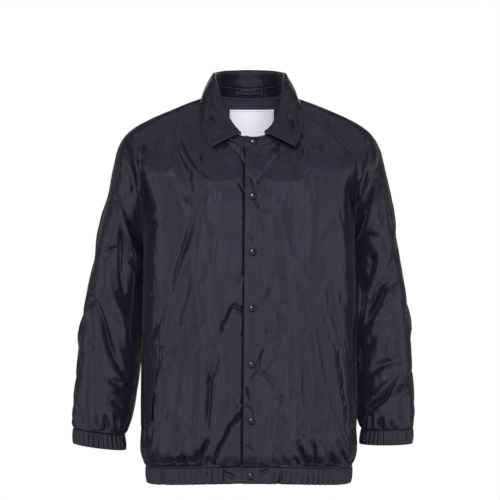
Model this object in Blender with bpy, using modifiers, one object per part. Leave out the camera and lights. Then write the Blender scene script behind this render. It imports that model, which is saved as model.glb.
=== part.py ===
"""Coach jacket with raglan sleeves, worn open at the neck, hem and cuffs and closed by seven snaps.

Metres. +X is the wearer's left, +Y the wearer's back, +Z up. The origin is in the middle of the neck opening, at the
height where the shoulder seams meet the collar, where the wearer's shoulders carry the garment.

Every cloth piece is an open surface worked out from short tables of sections, given its wall by Solidify.
"""

import math

import bpy
import numpy as np
from mathutils import Matrix

# Driving sizes
CLOTH = 0.0015
COLLAR_CLOTH = 0.0016
SEAM_GAP = 0.0004
LAYER_GAP = 0.0005
HEM_BOTTOM_Z = -0.725
HEM_SEAM_Z = -0.693
SIDE_DROP, SIDE_DROP_FROM = 0.010, -0.400
ARMPIT_Z = -0.250
LEFT, RIGHT = 1, -1

# Front closing: the wearer's left front lies over the right one
SNAP_COUNT = 7
SNAP_TOP_Z = -0.084
SNAP_PITCH = 0.1045
SNAP_RADIUS = 0.0063
SNAP_HEIGHT = 0.0032
SNAP_SEAT = 0.0004
CLOSING_TOP_X = 0.0088
CLOSING_BOTTOM_X = 0.0040
EDGE_FROM_SNAPS = 0.0155
LAP_RAMP = 0.035

# Neckband, collar, loop and label
NECKBAND_HEIGHT = 0.0195
LABEL_WIDTH, LABEL_TOP_Z, LABEL_BOTTOM_Z = 0.088, -0.010, -0.075
LABEL_CLOTH = 0.0010
LOOP_SPAN, LOOP_HEIGHT, LOOP_BOW, LOOP_CLOTH = 0.054, 0.007, 0.006, 0.0012

# Pocket welts, one on each front
WELT_TOP, WELT_BOTTOM = (0.1665, -0.470), (0.187, -0.617)
WELT_SEEN_WIDTH, WELT_CLOTH, WELT_GAP = 0.010, 0.0014, 0.0009

# Gathers
HEM_WAVES, HEM_WAVE_DEPTH, HEM_FLAT = 50, 0.0016, 0.062
CUFF_WAVES, CUFF_WAVE_DEPTH = 20, 0.0013
GATHER_AT_SEAM = 0.35
BODY_WAVES, BODY_WAVE_DEPTH, BODY_WAVE_REACH = 26, 0.0065, 0.085
SLEEVE_WAVES, SLEEVE_WAVE_DEPTH, SLEEVE_WAVE_REACH = 7, 0.0035, 0.060

# Mesh steps
FRONT_COLUMNS, BACK_COLUMNS, SLEEVE_COLUMNS, COLLAR_COLUMNS = 26, 36, 24, 36
ROWS_BELOW, ROWS_ABOVE, ROWS_ARM = 11, 9, 11
FINE = 80


def table(columns, rows):
    """A dictionary of columns from rows of numbers."""
    return dict(zip(columns.split(), np.array(rows, float).T))


# Half sections of the body at each height: the front half and the back half. Above the armpit the half width is that
# of the curve the panel lies on, which goes on past the raglan seam.
FRONT_SECTIONS = table(
    "z half_width depth squareness",
    [
        (-0.725, 0.1960, 0.1300, 2.70),
        (-0.693, 0.1990, 0.1335, 2.60),
        (-0.672, 0.2065, 0.1430, 2.50),
        (-0.620, 0.2070, 0.1460, 2.45),
        (-0.500, 0.2060, 0.1450, 2.40),
        (-0.380, 0.2050, 0.1430, 2.35),
        (-0.250, 0.2040, 0.1400, 2.30),
        (-0.215, 0.2080, 0.1380, 2.25),
        (-0.180, 0.2225, 0.1330, 2.20),
        (-0.135, 0.2580, 0.1210, 2.10),
        (-0.114, 0.2600, 0.1120, 2.05),
        (-0.0935, 0.2500, 0.1000, 2.00),
        (-0.077, 0.2350, 0.0890, 2.00),
        (-0.054, 0.2160, 0.0735, 2.00),
        (-0.030, 0.2000, 0.0565, 2.00),
        (-0.010, 0.1800, 0.0420, 2.00),
    ],
)
BACK_SECTIONS = table(
    "z half_width depth squareness",
    [
        (-0.725, 0.1960, 0.1220, 2.60),
        (-0.693, 0.1990, 0.1250, 2.50),
        (-0.672, 0.2065, 0.1340, 2.40),
        (-0.620, 0.2070, 0.1360, 2.40),
        (-0.500, 0.2060, 0.1340, 2.40),
        (-0.380, 0.2050, 0.1320, 2.35),
        (-0.250, 0.2040, 0.1310, 2.30),
        (-0.225, 0.2080, 0.1315, 2.25),
        (-0.190, 0.2254, 0.1320, 2.20),
        (-0.140, 0.2530, 0.1290, 2.10),
        (-0.100, 0.2480, 0.1220, 2.00),
        (-0.060, 0.2100, 0.1100, 2.00),
        (-0.020, 0.1300, 0.0920, 2.00),
        (0.000, 0.1000, 0.0810, 2.00),
        (0.015, 0.0800, 0.0710, 2.00),
    ],
)

# The neck seam. The turn is 0 at the middle of the back, 90 at the side and 180 at the middle of the front.
NECK = table(
    "turn x y z",
    [
        (-30, -0.0450, 0.0595, 0.0135),
        (0, 0.0000, 0.0730, 0.0115),
        (30, 0.0450, 0.0595, 0.0135),
        (45, 0.0595, 0.0460, 0.0145),
        (60, 0.0675, 0.0280, 0.0150),
        (90, 0.0705, -0.0070, 0.0100),
        (120, 0.0645, -0.0495, -0.0250),
        (140, 0.0520, -0.0770, -0.0640),
        (160, 0.0300, -0.0945, -0.0870),
        (180, 0.0000, -0.1000, -0.0935),
        (200, -0.0300, -0.0945, -0.0870),
    ],
)
FRONT_RAGLAN_TURN, BACK_RAGLAN_TURN = 116, 45

# The shoulder part of a sleeve, from the neck, row 0, to the armpit, row 9: where each row leaves the front and back
# raglan seams, where it crosses the shoulder ridge, how far it is pulled along its tangents, and how far it turns
# from the line of the panel, 0, towards straight forward or back, 1.
SHOULDER = table(
    "row front_x front_z back_x back_z ridge_x ridge_z seam_pull ridge_pull turn",
    [
        (0, 0.0665, -0.0190, 0.0595, 0.0145, 0.0705, 0.0100, 0.016, 0.016, 0.0),
        (1, 0.1030, -0.0300, 0.1000, -0.0180, 0.1050, -0.0010, 0.024, 0.030, 0.0),
        (2, 0.1400, -0.0540, 0.1400, -0.0580, 0.1450, -0.0165, 0.032, 0.036, 0.0),
        (3, 0.1660, -0.0770, 0.1580, -0.0800, 0.1900, -0.0360, 0.036, 0.040, 0.0),
        (4, 0.1870, -0.0980, 0.1730, -0.1020, 0.2200, -0.0530, 0.040, 0.043, 0.05),
        (5, 0.1995, -0.1140, 0.1830, -0.1250, 0.2400, -0.0720, 0.045, 0.046, 0.2),
        (6, 0.2030, -0.1370, 0.1910, -0.1500, 0.2545, -0.1030, 0.048, 0.052, 0.55),
        (7, 0.2035, -0.1800, 0.1990, -0.1900, 0.2655, -0.1500, 0.062, 0.068, 0.85),
        (8, 0.2037, -0.2150, 0.2035, -0.2250, 0.2730, -0.2000, 0.085, 0.088, 1.0),
        (9, 0.2040, -0.2500, 0.2040, -0.2500, 0.2810, -0.2500, 0.104, 0.104, 1.0),
    ],
)
ARMPIT_ROW = 9

# The arm below the armpit, row 9, to the cuff seam, row 14, and the cuff's end, row 15: the outermost and innermost
# points of each ring, and how far it reaches forward and back of the line between them.
ARM = table(
    "row outer_x outer_y outer_z inner_x inner_y inner_z front back",
    [
        (9, 0.2810, 0.000, -0.250, 0.2040, 0.000, -0.250, 0.0780, 0.0780),
        (10, 0.2885, 0.003, -0.302, 0.1960, 0.030, -0.298, 0.0800, 0.0760),
        (11, 0.3045, 0.008, -0.402, 0.1920, 0.036, -0.396, 0.0780, 0.0700),
        (12, 0.3120, 0.006, -0.502, 0.1930, 0.034, -0.494, 0.0720, 0.0640),
        (13, 0.3150, -0.002, -0.596, 0.2015, 0.016, -0.590, 0.0620, 0.0560),
        (14, 0.3125, -0.005, -0.632, 0.2135, 0.003, -0.633, 0.0440, 0.0420),
        (15, 0.3110, -0.006, -0.6620, 0.2105, 0.002, -0.6630, 0.0430, 0.0410),
    ],
)
CUFF_ROW, CUFF_END_ROW = 14, 15
CUFF_SEAM_SHARE = SEAM_GAP / 0.031  # the seam's gap as a share of the cuff's height
ARM_CLEARANCE = 0.0042

# The wearer's right arm hangs further out, turned about a point in the shoulder, and its cuff slants more
SWING_DEG = {LEFT: 0.5, RIGHT: 3.1}
CUFF_DROP = {LEFT: 0.0, RIGHT: 0.004}
CUFF_TILT = {LEFT: 0.0, RIGHT: 0.075}
SWING_X, SWING_Z, SWING_REACH = 0.250, -0.140, 0.100

# The collar: where its leaf starts, how high it rises from the neckband before it folds, and its outer edge
COLLAR_END_TURN = 164.0
NECKBAND_END_TURN = 190.5
FOLD_RADIUS = 0.0026
LEAF_BELLY = 0.0035
CREASE_ROOM = 0.0003
COLLAR = table(
    "turn rise edge_x edge_y edge_z",
    [
        (-30, 0.0310, -0.0530, 0.0860, -0.0010),
        (0, 0.0355, 0.0000, 0.1010, -0.0020),
        (30, 0.0310, 0.0530, 0.0860, -0.0010),
        (60, 0.0240, 0.0800, 0.0460, 0.0075),
        (90, 0.0220, 0.0895, -0.0080, 0.0095),
        (120, 0.0250, 0.0970, -0.0540, -0.0200),
        (140, 0.0230, 0.0955, -0.0800, -0.0550),
        (155, 0.0130, 0.0870, -0.0970, -0.0800),
        (164, 0.0055, 0.0790, -0.1055, -0.0945),
    ],
)

# The largest folds as seen from the front and from the back: a line from x0, z0 to x1, z1, the fold's half breadth
# and its height, which is negative for a trough.
FRONT_FOLDS = table(
    "x0 z0 x1 z1 breadth height",
    [
        (-0.142, -0.070, -0.118, -0.185, 0.014, 0.0065),
        (-0.095, -0.125, -0.070, -0.185, 0.018, -0.0070),
        (-0.100, -0.185, -0.185, -0.450, 0.014, -0.0070),
        (-0.070, -0.200, -0.155, -0.450, 0.015, 0.0060),
        (-0.030, -0.160, -0.060, -0.380, 0.016, -0.0040),
        (-0.014, -0.400, -0.062, -0.440, 0.012, -0.0060),
        (-0.062, -0.440, -0.082, -0.550, 0.013, -0.0060),
        (-0.100, -0.470, -0.110, -0.600, 0.014, 0.0050),
        (-0.018, -0.600, -0.070, -0.680, 0.013, -0.0060),
        (0.055, -0.105, 0.075, -0.210, 0.017, -0.0060),
        (0.125, -0.090, 0.150, -0.200, 0.014, 0.0060),
        (0.055, -0.370, 0.030, -0.460, 0.012, -0.0050),
        (0.085, -0.240, 0.110, -0.450, 0.015, 0.0055),
        (0.130, -0.280, 0.178, -0.560, 0.014, -0.0065),
        (0.080, -0.420, 0.105, -0.640, 0.014, 0.0060),
        (0.050, -0.510, 0.085, -0.660, 0.013, -0.0060),
        (0.125, -0.560, 0.140, -0.670, 0.012, -0.0060),
    ],
)
BACK_FOLDS = table(
    "x0 z0 x1 z1 breadth height",
    [
        (-0.170, -0.170, -0.100, -0.330, 0.016, 0.0065),
        (0.165, -0.160, 0.110, -0.340, 0.016, 0.0065),
        (-0.105, -0.150, -0.060, -0.260, 0.016, -0.0050),
        (0.100, -0.140, 0.070, -0.270, 0.016, -0.0050),
        (-0.110, -0.300, -0.155, -0.580, 0.016, -0.0065),
        (0.100, -0.320, 0.150, -0.610, 0.016, -0.0065),
        (-0.040, -0.280, -0.055, -0.560, 0.018, 0.0055),
        (0.045, -0.350, 0.030, -0.640, 0.016, -0.0055),
        (-0.085, -0.480, -0.080, -0.660, 0.014, -0.0055),
        (0.085, -0.500, 0.090, -0.660, 0.014, 0.0055),
    ],
)
SLEEVE_FOLDS = {
    RIGHT: table(
        "x0 z0 x1 z1 breadth height",
        [
            (-0.235, -0.110, -0.215, -0.200, 0.010, -0.0045),
            (-0.272, -0.190, -0.225, -0.300, 0.012, -0.0055),
            (-0.285, -0.215, -0.240, -0.330, 0.011, 0.0045),
            (-0.308, -0.400, -0.250, -0.520, 0.014, -0.0055),
            (-0.285, -0.300, -0.235, -0.440, 0.014, 0.0050),
            (-0.300, -0.480, -0.245, -0.545, 0.012, 0.0040),
        ],
    ),
    LEFT: table(
        "x0 z0 x1 z1 breadth height",
        [
            (0.245, -0.110, 0.220, -0.210, 0.010, -0.0045),
            (0.260, -0.130, 0.215, -0.270, 0.012, 0.0050),
            (0.290, -0.330, 0.225, -0.430, 0.014, -0.0055),
            (0.275, -0.420, 0.235, -0.500, 0.012, 0.0040),
            (0.300, -0.500, 0.225, -0.600, 0.012, -0.0050),
            (0.305, -0.470, 0.240, -0.540, 0.012, 0.0045),
        ],
    ),
}


def spline(knots, values, at):
    """Values between knots on cubics whose slope at a knot is that of the parabola through it and its neighbours."""
    step = np.diff(knots)
    chord = np.diff(values) / step
    slope = np.empty(len(knots))
    slope[1:-1] = (step[1:] * chord[:-1] + step[:-1] * chord[1:]) / (step[1:] + step[:-1])
    slope[0], slope[-1] = chord[0], chord[-1]
    at = np.asarray(at, float)
    i = np.clip(np.searchsorted(knots, at) - 1, 0, len(step) - 1)
    s = (at - knots[i]) / step[i]
    return (
        values[i] * (1 + 2 * s) * (1 - s) ** 2
        + values[i + 1] * s**2 * (3 - 2 * s)
        + step[i] * (slope[i] * s * (1 - s) ** 2 - slope[i + 1] * s**2 * (1 - s))
    )


def read(source, key, at):
    """Every other column of a table, read at the key's value."""
    return {name: spline(source[key], source[name], at) for name in source if name != key}


def points(x, y, z):
    return np.stack(np.broadcast_arrays(x, y, z), axis=-1)


def unit(v):
    return v / np.maximum(np.linalg.norm(v, axis=-1, keepdims=True), 1e-12)


def ease(s):
    """From 0 to 1 with level ends."""
    s = np.clip(s, 0, 1)
    return s * s * (3 - 2 * s)


def even(rows, count):
    """Each row of points resampled to count steps of equal length."""
    made = []
    for row in rows:
        run = np.concatenate([[0], np.cumsum(np.linalg.norm(np.diff(row, axis=0), axis=1))])
        at = np.linspace(0, run[-1], count + 1)
        made.append(np.stack([np.interp(at, run, row[:, k]) for k in range(3)], axis=-1))
    return np.array(made)


def normals(grid):
    """Unit normals of a grid of points, on the side that faces away from the body's axis or the arm's."""
    return unit(np.cross(np.gradient(grid, axis=1), np.gradient(grid, axis=0)))


def mirrored(side, grid):
    return grid * np.array([side, 1, 1])


def body_half(side_sections, sign, angle, z):
    """A point of a half section: the angle is 0 at the middle and a quarter turn at the side."""
    s = read(side_sections, "z", z)
    power = 2 / s["squareness"]
    x = s["half_width"] * np.sign(np.sin(angle)) * np.abs(np.sin(angle)) ** power
    y = sign * s["depth"] * np.abs(np.cos(angle)) ** power
    return points(x, y, z)


def front_half(angle, z):
    return body_half(FRONT_SECTIONS, -1, angle, z)


def back_half(angle, z):
    return body_half(BACK_SECTIONS, 1, angle, z)


def angle_at(side_sections, x, z):
    s = read(side_sections, "z", z)
    share = np.clip(np.abs(x) / s["half_width"], 0, 1)
    return np.sign(x) * np.arcsin(share ** (s["squareness"] / 2))


def closing_x(z):
    """The line of snaps, which leans a little from the neck to the hem."""
    t = np.clip((z - SNAP_TOP_Z) / (HEM_BOTTOM_Z - SNAP_TOP_Z), 0, 1)
    return CLOSING_TOP_X + (CLOSING_BOTTOM_X - CLOSING_TOP_X) * t


def neck(turn):
    """The neck seam. Its front is moved over to the line of snaps."""
    t = np.abs(turn)
    s = read(NECK, "turn", t)
    forward = np.maximum(0, -np.cos(np.radians(t))) ** 2
    return points(np.sign(turn) * s["x"] + CLOSING_TOP_X * forward, s["y"], s["z"])


def neck_of(side, turn):
    """The neck seam on one side, mirrored to +X."""
    return mirrored(side, neck(side * np.asarray(turn, float)))


def raglan(side, face, row):
    """The raglan seam of the front or back, mirrored to +X, by the shoulder table's rows."""
    sections, half, start = (
        (FRONT_SECTIONS, front_half, FRONT_RAGLAN_TURN)
        if face == "front"
        else (BACK_SECTIONS, back_half, BACK_RAGLAN_TURN)
    )
    s = read(SHOULDER, "row", row)
    x, z = s[face + "_x"], s[face + "_z"]
    on_body = half(angle_at(sections, x, z), z)
    first_x, first_z = SHOULDER[face + "_x"][0], SHOULDER[face + "_z"][0]
    first = half(angle_at(sections, first_x, first_z), first_z)
    fade = np.clip(1 - np.asarray(row, float) / 2.5, 0, 1) ** 2
    return on_body + fade[..., None] * (neck_of(side, start) - first)


def fold_height(folds, x, z):
    """The sum of the folds at a place seen straight on."""
    total = np.zeros(np.shape(x))
    for x0, z0, x1, z1, breadth, height in zip(*folds.values()):
        dx, dz = x1 - x0, z1 - z0
        along = np.clip(((x - x0) * dx + (z - z0) * dz) / (dx * dx + dz * dz), 0, 1)
        away = np.hypot(x - x0 - along * dx, z - z0 - along * dz)
        total += height * np.exp(-((away / breadth) ** 2)) * (0.35 + 0.65 * np.sin(math.pi * along))
    return total


def hung(grid):
    """The body's lower part hangs a little lower at its sides."""
    low = ease((SIDE_DROP_FROM - grid[..., 2]) / (SIDE_DROP_FROM - HEM_SEAM_Z))
    grid = grid.copy()
    grid[..., 2] -= SIDE_DROP * low * (grid[..., 0] / 0.2) ** 2
    return grid


def heights_of_rows():
    """The heights of the rows below the armpit, closer together at the hem."""
    t = np.linspace(0, 1, ROWS_BELOW + 1) ** 1.35
    return HEM_SEAM_Z + SEAM_GAP + (ARMPIT_Z - HEM_SEAM_Z - SEAM_GAP) * t


def off_seam(away, reach):
    """How strong a gather is at a distance from its seam: none in the seam, full beside it, none past its reach."""
    return ease(away / 0.014) * ease(1 - away / reach)


def body_waves(run, z):
    """The gathers above the hem, at a distance round the body from the closing."""
    phase = 2 * math.pi * BODY_WAVES * run
    uneven = 0.7 + 0.3 * np.sin(21.0 * phase / BODY_WAVES + 1.0)
    above = z - HEM_SEAM_Z
    return BODY_WAVE_DEPTH * uneven * off_seam(above, BODY_WAVE_REACH) * np.cos(phase)


def panel_rows(side, face, edge_x):
    """One half panel mirrored to +X, from its inner edge to the side and raglan seams, hem first, as fine rows."""
    sections, half, start = (
        (FRONT_SECTIONS, front_half, FRONT_RAGLAN_TURN)
        if face == "front"
        else (BACK_SECTIONS, back_half, BACK_RAGLAN_TURN)
    )
    s = np.linspace(0, 1, FINE + 1)
    middle_turn = 180 if face == "front" else 0
    search = np.linspace(middle_turn - 20, middle_turn + 20, 401)
    middle_z = neck(middle_turn)[2]
    found_x = neck_of(side, search)[:, 0]
    order = np.argsort(found_x)
    first_turn = np.interp(edge_x(neck_of(side, middle_turn)[2]), found_x[order], search[order])
    top = neck_of(side, first_turn + (start - first_turn) * s)
    top_angle = angle_at(sections, top[:, 0], top[:, 2])
    rows = []
    for z in heights_of_rows():
        inner = angle_at(sections, edge_x(z), z)
        rows.append(half(inner + (math.pi / 2 - inner) * s, z))
    for row in np.linspace(ARMPIT_ROW, 0, ROWS_ABOVE + 1)[1:]:
        k = 1 - row / ARMPIT_ROW
        seam = raglan(side, face, row)
        inner_z = ARMPIT_Z + (middle_z - ARMPIT_Z) * k + (top[0, 2] - middle_z) * k**4
        inner = angle_at(sections, edge_x(inner_z), inner_z)
        outer = angle_at(sections, seam[0], seam[2])
        straight_z = top[0, 2] + (top[-1, 2] - top[0, 2]) * s
        straight_angle = top_angle[0] + (top_angle[-1] - top_angle[0]) * s
        z = inner_z + (seam[2] - inner_z) * s + k**2 * (top[:, 2] - straight_z)
        angle = inner + (outer - inner) * s + k**2 * (top_angle - straight_angle)
        found = half(angle, z)
        found += k**3 * (top - half(top_angle, top[:, 2]))
        found[-1] = seam
        rows.append(found)
    return rows


def edge_fade(count, near=2.0):
    """0 at a panel's outer seam and 1 inside it, by columns."""
    return ease(np.arange(count, -1, -1) / near)


def shaped(grid, folds, waves, fade):
    """A grid moved along its normals by its folds and gathers."""
    height = fold_height(folds, grid[..., 0], grid[..., 2]) + waves
    return grid + normals(grid) * (height * fade)[..., None]


def front_panel(side):
    """One front, hem first and closing edge first."""
    under = side == RIGHT

    def edge_x(z):
        return side * closing_x(z) - EDGE_FROM_SNAPS

    local = even(panel_rows(side, "front", edge_x), FRONT_COLUMNS)
    from_lap = local[..., 0] - side * closing_x(local[..., 2]) - EDGE_FROM_SNAPS
    lap = (CLOTH + LAYER_GAP) / 2 * ease(1 - from_lap / LAP_RAMP) * (-1 if under else 1)
    out = normals(local)
    local = local + out * lap[..., None]
    grid = mirrored(side, local)
    run = np.arange(FRONT_COLUMNS + 1) / FRONT_COLUMNS * 0.25
    calm = ease((local[..., 0] - side * closing_x(local[..., 2]) - 0.012) / 0.030)
    waves = body_waves(run[None, :], local[..., 2])
    fade = calm * edge_fade(FRONT_COLUMNS)[None, :]
    fade[-1] = 0
    height = fold_height(FRONT_FOLDS, grid[..., 0], grid[..., 2]) + waves
    return hung(grid + mirrored(side, normals(local)) * (height * fade)[..., None])


def back_panel():
    """The back, hem first, from the wearer's left to the right."""
    halves = {}
    for side in (LEFT, RIGHT):
        rows = panel_rows(side, "back", lambda z: 0.0 * z)
        halves[side] = mirrored(side, even(rows, BACK_COLUMNS // 2))
    grid = np.concatenate([halves[LEFT][:, ::-1], halves[RIGHT][:, 1:]], axis=1)
    run = 0.25 + np.arange(BACK_COLUMNS + 1) / BACK_COLUMNS * 0.5
    waves = body_waves(run[None, :], grid[..., 2])
    fade = edge_fade(BACK_COLUMNS) * edge_fade(BACK_COLUMNS)[::-1]
    fade = np.repeat(fade[None, :], len(grid), axis=0)
    fade[-1] = 0
    return hung(shaped(grid, BACK_FOLDS, waves, fade))


def cubic(p0, p1, p2, p3, s):
    s = s[:, None]
    return (
        p0 * (1 - s) ** 3
        + 3 * p1 * s * (1 - s) ** 2
        + 3 * p2 * s**2 * (1 - s)
        + p3 * s**3
    )


def swung(side, grid):
    """The arm turned out about the shoulder, more and more over SWING_REACH below it."""
    share = ease((SWING_Z - grid[..., 2]) / SWING_REACH)
    turn = math.radians(SWING_DEG[side]) * share
    dx, dz = grid[..., 0] - SWING_X, grid[..., 2] - SWING_Z
    x = SWING_X + dx * np.cos(turn) - dz * np.sin(turn)
    z = SWING_Z + dx * np.sin(turn) + dz * np.cos(turn)
    low = ease((-0.35 - z) / 0.28)
    z = z - low * (CUFF_DROP[side] + CUFF_TILT[side] * (0.3 - grid[..., 0]))
    return points(x, grid[..., 1], z)


def clear_of_body(grid, clearance):
    """Points inside the body's section, grown by the clearance, moved straight out of it."""
    z = np.clip(grid[..., 2], HEM_BOTTOM_Z, ARMPIT_Z)
    front, back = read(FRONT_SECTIONS, "z", z), read(BACK_SECTIONS, "z", z)
    ahead = grid[..., 1] < 0
    power = np.where(ahead, front["squareness"], back["squareness"])
    width = front["half_width"] + clearance
    depth = np.where(ahead, front["depth"], back["depth"]) + clearance
    size = (np.abs(grid[..., 0]) / width) ** power + (np.abs(grid[..., 1]) / depth) ** power
    size = np.minimum(size ** (1 / power), 1)[..., None]
    return np.where(size < 1, grid * np.array([1, 1, 0]) / size + grid * np.array([0, 0, 1]), grid)


def shoulder_curve(side, row):
    """Two cubics from the front raglan seam over the shoulder ridge to the back raglan seam, mirrored to +X."""
    s = np.linspace(0, 1, FINE + 1)
    v = read(SHOULDER, "row", row)
    ridge = np.array([v["ridge_x"], 0.0, v["ridge_z"]])
    halves = []
    for face, sign, half, sections in (
        ("front", -1, front_half, FRONT_SECTIONS),
        ("back", 1, back_half, BACK_SECTIONS),
    ):
        seam = raglan(side, face, row)
        angle = angle_at(sections, seam[0], seam[2])
        across = half(angle + 0.01, seam[2]) - half(angle - 0.01, seam[2])
        up = half(angle, seam[2] + 0.001) - half(angle, seam[2] - 0.001)
        out = unit(np.cross(across, up))
        chord = ridge - seam
        flat = unit(chord - out * (chord @ out))
        away = unit(flat * (1 - v["turn"]) + np.array([0, sign, 0]) * v["turn"])
        halves.append(
            cubic(
                seam,
                seam + away * v["seam_pull"],
                ridge + np.array([0, sign, 0]) * v["ridge_pull"],
                ridge,
                s,
            )
        )
    whole = np.concatenate([halves[0], halves[1][::-1][1:]])
    return even([whole], 2 * FINE)[0]


def shoulder_row(side, row):
    """One row over the shoulder, which near the neck takes on the shape of the neck seam."""
    turns = np.linspace(FRONT_RAGLAN_TURN, BACK_RAGLAN_TURN, 2 * FINE + 1)
    neck_line = even([neck_of(side, turns)], 2 * FINE)[0]
    at_neck = np.clip(1 - row / 1.5, 0, 1) ** 2
    return shoulder_curve(side, row) + at_neck * (neck_line - shoulder_curve(side, 0))


def arm_row(row):
    """One ring of the arm, mirrored to +X, from its innermost point round the front and the back to it again."""
    s = np.linspace(0, 1, FINE + 1)
    v = read(ARM, "row", row)
    outer = np.array([v["outer_x"], v["outer_y"], v["outer_z"]])
    inner = np.array([v["inner_x"], v["inner_y"], v["inner_z"]])
    pull = 4 / 3
    front = np.array([0, -v["front"] * pull, 0])
    back = np.array([0, v["back"] * pull, 0])
    ahead = cubic(inner, inner + front, outer + front, outer, s)
    behind = cubic(outer, outer + back, inner + back, inner, s)
    return np.concatenate([ahead, behind[1:]])


def arm_rows(side, rows, columns):
    """Rings of the arm, swung and clear of the body, with even columns."""
    rings = []
    for row in rows:
        ring = swung(side, arm_row(row))
        depth = ease((row - ARMPIT_ROW) / 0.5)
        rings.append(clear_of_body(ring, CLOTH + SEAM_GAP + (ARM_CLEARANCE - CLOTH - SEAM_GAP) * depth))
    return even(rings, columns)


def sleeve(side):
    """One sleeve, neck first: open rows over the shoulder, then closed rings down to the cuff seam."""
    above = [swung(side, shoulder_row(side, row)) for row in np.linspace(0, ARMPIT_ROW, ROWS_ABOVE + 1)[:-1]]
    below_rows = np.linspace(ARMPIT_ROW, CUFF_ROW - CUFF_SEAM_SHARE, ROWS_ARM + 1)
    local = np.concatenate([even(above, SLEEVE_COLUMNS), arm_rows(side, below_rows, SLEEVE_COLUMNS)])
    grid = mirrored(side, local)
    run = np.arange(SLEEVE_COLUMNS + 1) / SLEEVE_COLUMNS
    from_cuff = np.linalg.norm(local - local[-1:], axis=-1)
    waves = SLEEVE_WAVE_DEPTH * np.cos(2 * math.pi * SLEEVE_WAVES * run) * off_seam(from_cuff, SLEEVE_WAVE_REACH)
    fade = edge_fade(SLEEVE_COLUMNS, 3.0) * edge_fade(SLEEVE_COLUMNS, 3.0)[::-1]
    fade = np.repeat(fade[None, :], len(grid), axis=0)
    fade[0] = 0
    fade[1] *= 0.4
    ahead = grid[..., 1] < 0.02
    height = np.where(ahead, fold_height(SLEEVE_FOLDS[side], grid[..., 0], grid[..., 2]), 0) + waves
    return grid - mirrored(side, normals(local)) * (height * fade)[..., None]


def square_to(along, v):
    """Directions turned square to a seam's direction."""
    return unit(v - along * (v * along).sum(-1, keepdims=True))


def seam_moves(along, first_in, second_in, cloth):
    """How far to move two edges that meet, so that their walls stay SEAM_GAP apart: along the line between them that
    is square to the plane halfway between the two walls. The last directions point from the seam into its pieces."""
    first_in, second_in = square_to(along, first_in), square_to(along, second_in)
    across = unit(second_in - first_in)
    half_angle = np.arccos(np.clip((first_in * second_in).sum(-1), -1, 1)) / 2
    move = SEAM_GAP / 2 + cloth / 2 * np.cos(half_angle)
    return across * move[..., None]


def part_at_raglans(side, front, back, arm):
    """Moves the edges of a front, the back and a sleeve apart along the raglan seams and the side seam."""
    back_edge, back_next = (0, 1) if side == LEFT else (-1, -2)
    for panel, edge, inner, column, inner_column in (
        (front, -1, -2, 0, 1),
        (back, back_edge, back_next, -1, -2),
    ):
        along = unit(np.gradient(panel[:, edge], axis=0))
        into = unit(panel[:, inner] - panel[:, edge])
        raglan_rows = slice(ROWS_BELOW + 1, None)
        into_arm = (arm[:ROWS_ABOVE, inner_column] - arm[:ROWS_ABOVE, column])[::-1]
        move = seam_moves(along[raglan_rows], into[raglan_rows], into_arm, CLOTH)
        arm[:ROWS_ABOVE, column] += move[::-1]
        panel[raglan_rows, edge] -= move
        panel[: ROWS_BELOW + 1, edge] += into[: ROWS_BELOW + 1] * SEAM_GAP / 2


def part_at_neck(pieces, stand):
    """Moves the top edges of the body's pieces and the foot of the neckband apart. Each piece is given as its top edge
    and the row below it."""
    fine = np.linspace(-NECKBAND_END_TURN, NECKBAND_END_TURN, 1525)
    line = neck(fine)
    along = unit(np.gradient(line, axis=0))
    up = above_neck(fine, np.full(fine.shape, 0.001)) - line
    found_turns, found_moves = [], []
    for edge, below in pieces:
        near = np.linalg.norm(edge[:, None] - line[None], axis=-1)
        spans = np.where(np.sign(fine) == np.sign(edge[len(edge) // 2, 0]), 0, 0.001)
        at = (near + spans[None]).argmin(axis=1)
        move = seam_moves(along[at], below - edge, up[at], CLOTH)
        edge -= move
        found_turns.append(fine[at])
        found_moves.append(move)
    turns, moves = np.concatenate(found_turns), np.concatenate(found_moves)
    order = np.argsort(turns)
    for k in range(3):
        stand[0, :, k] += np.interp(neckband_turns(), turns[order], moves[order, k])


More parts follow.
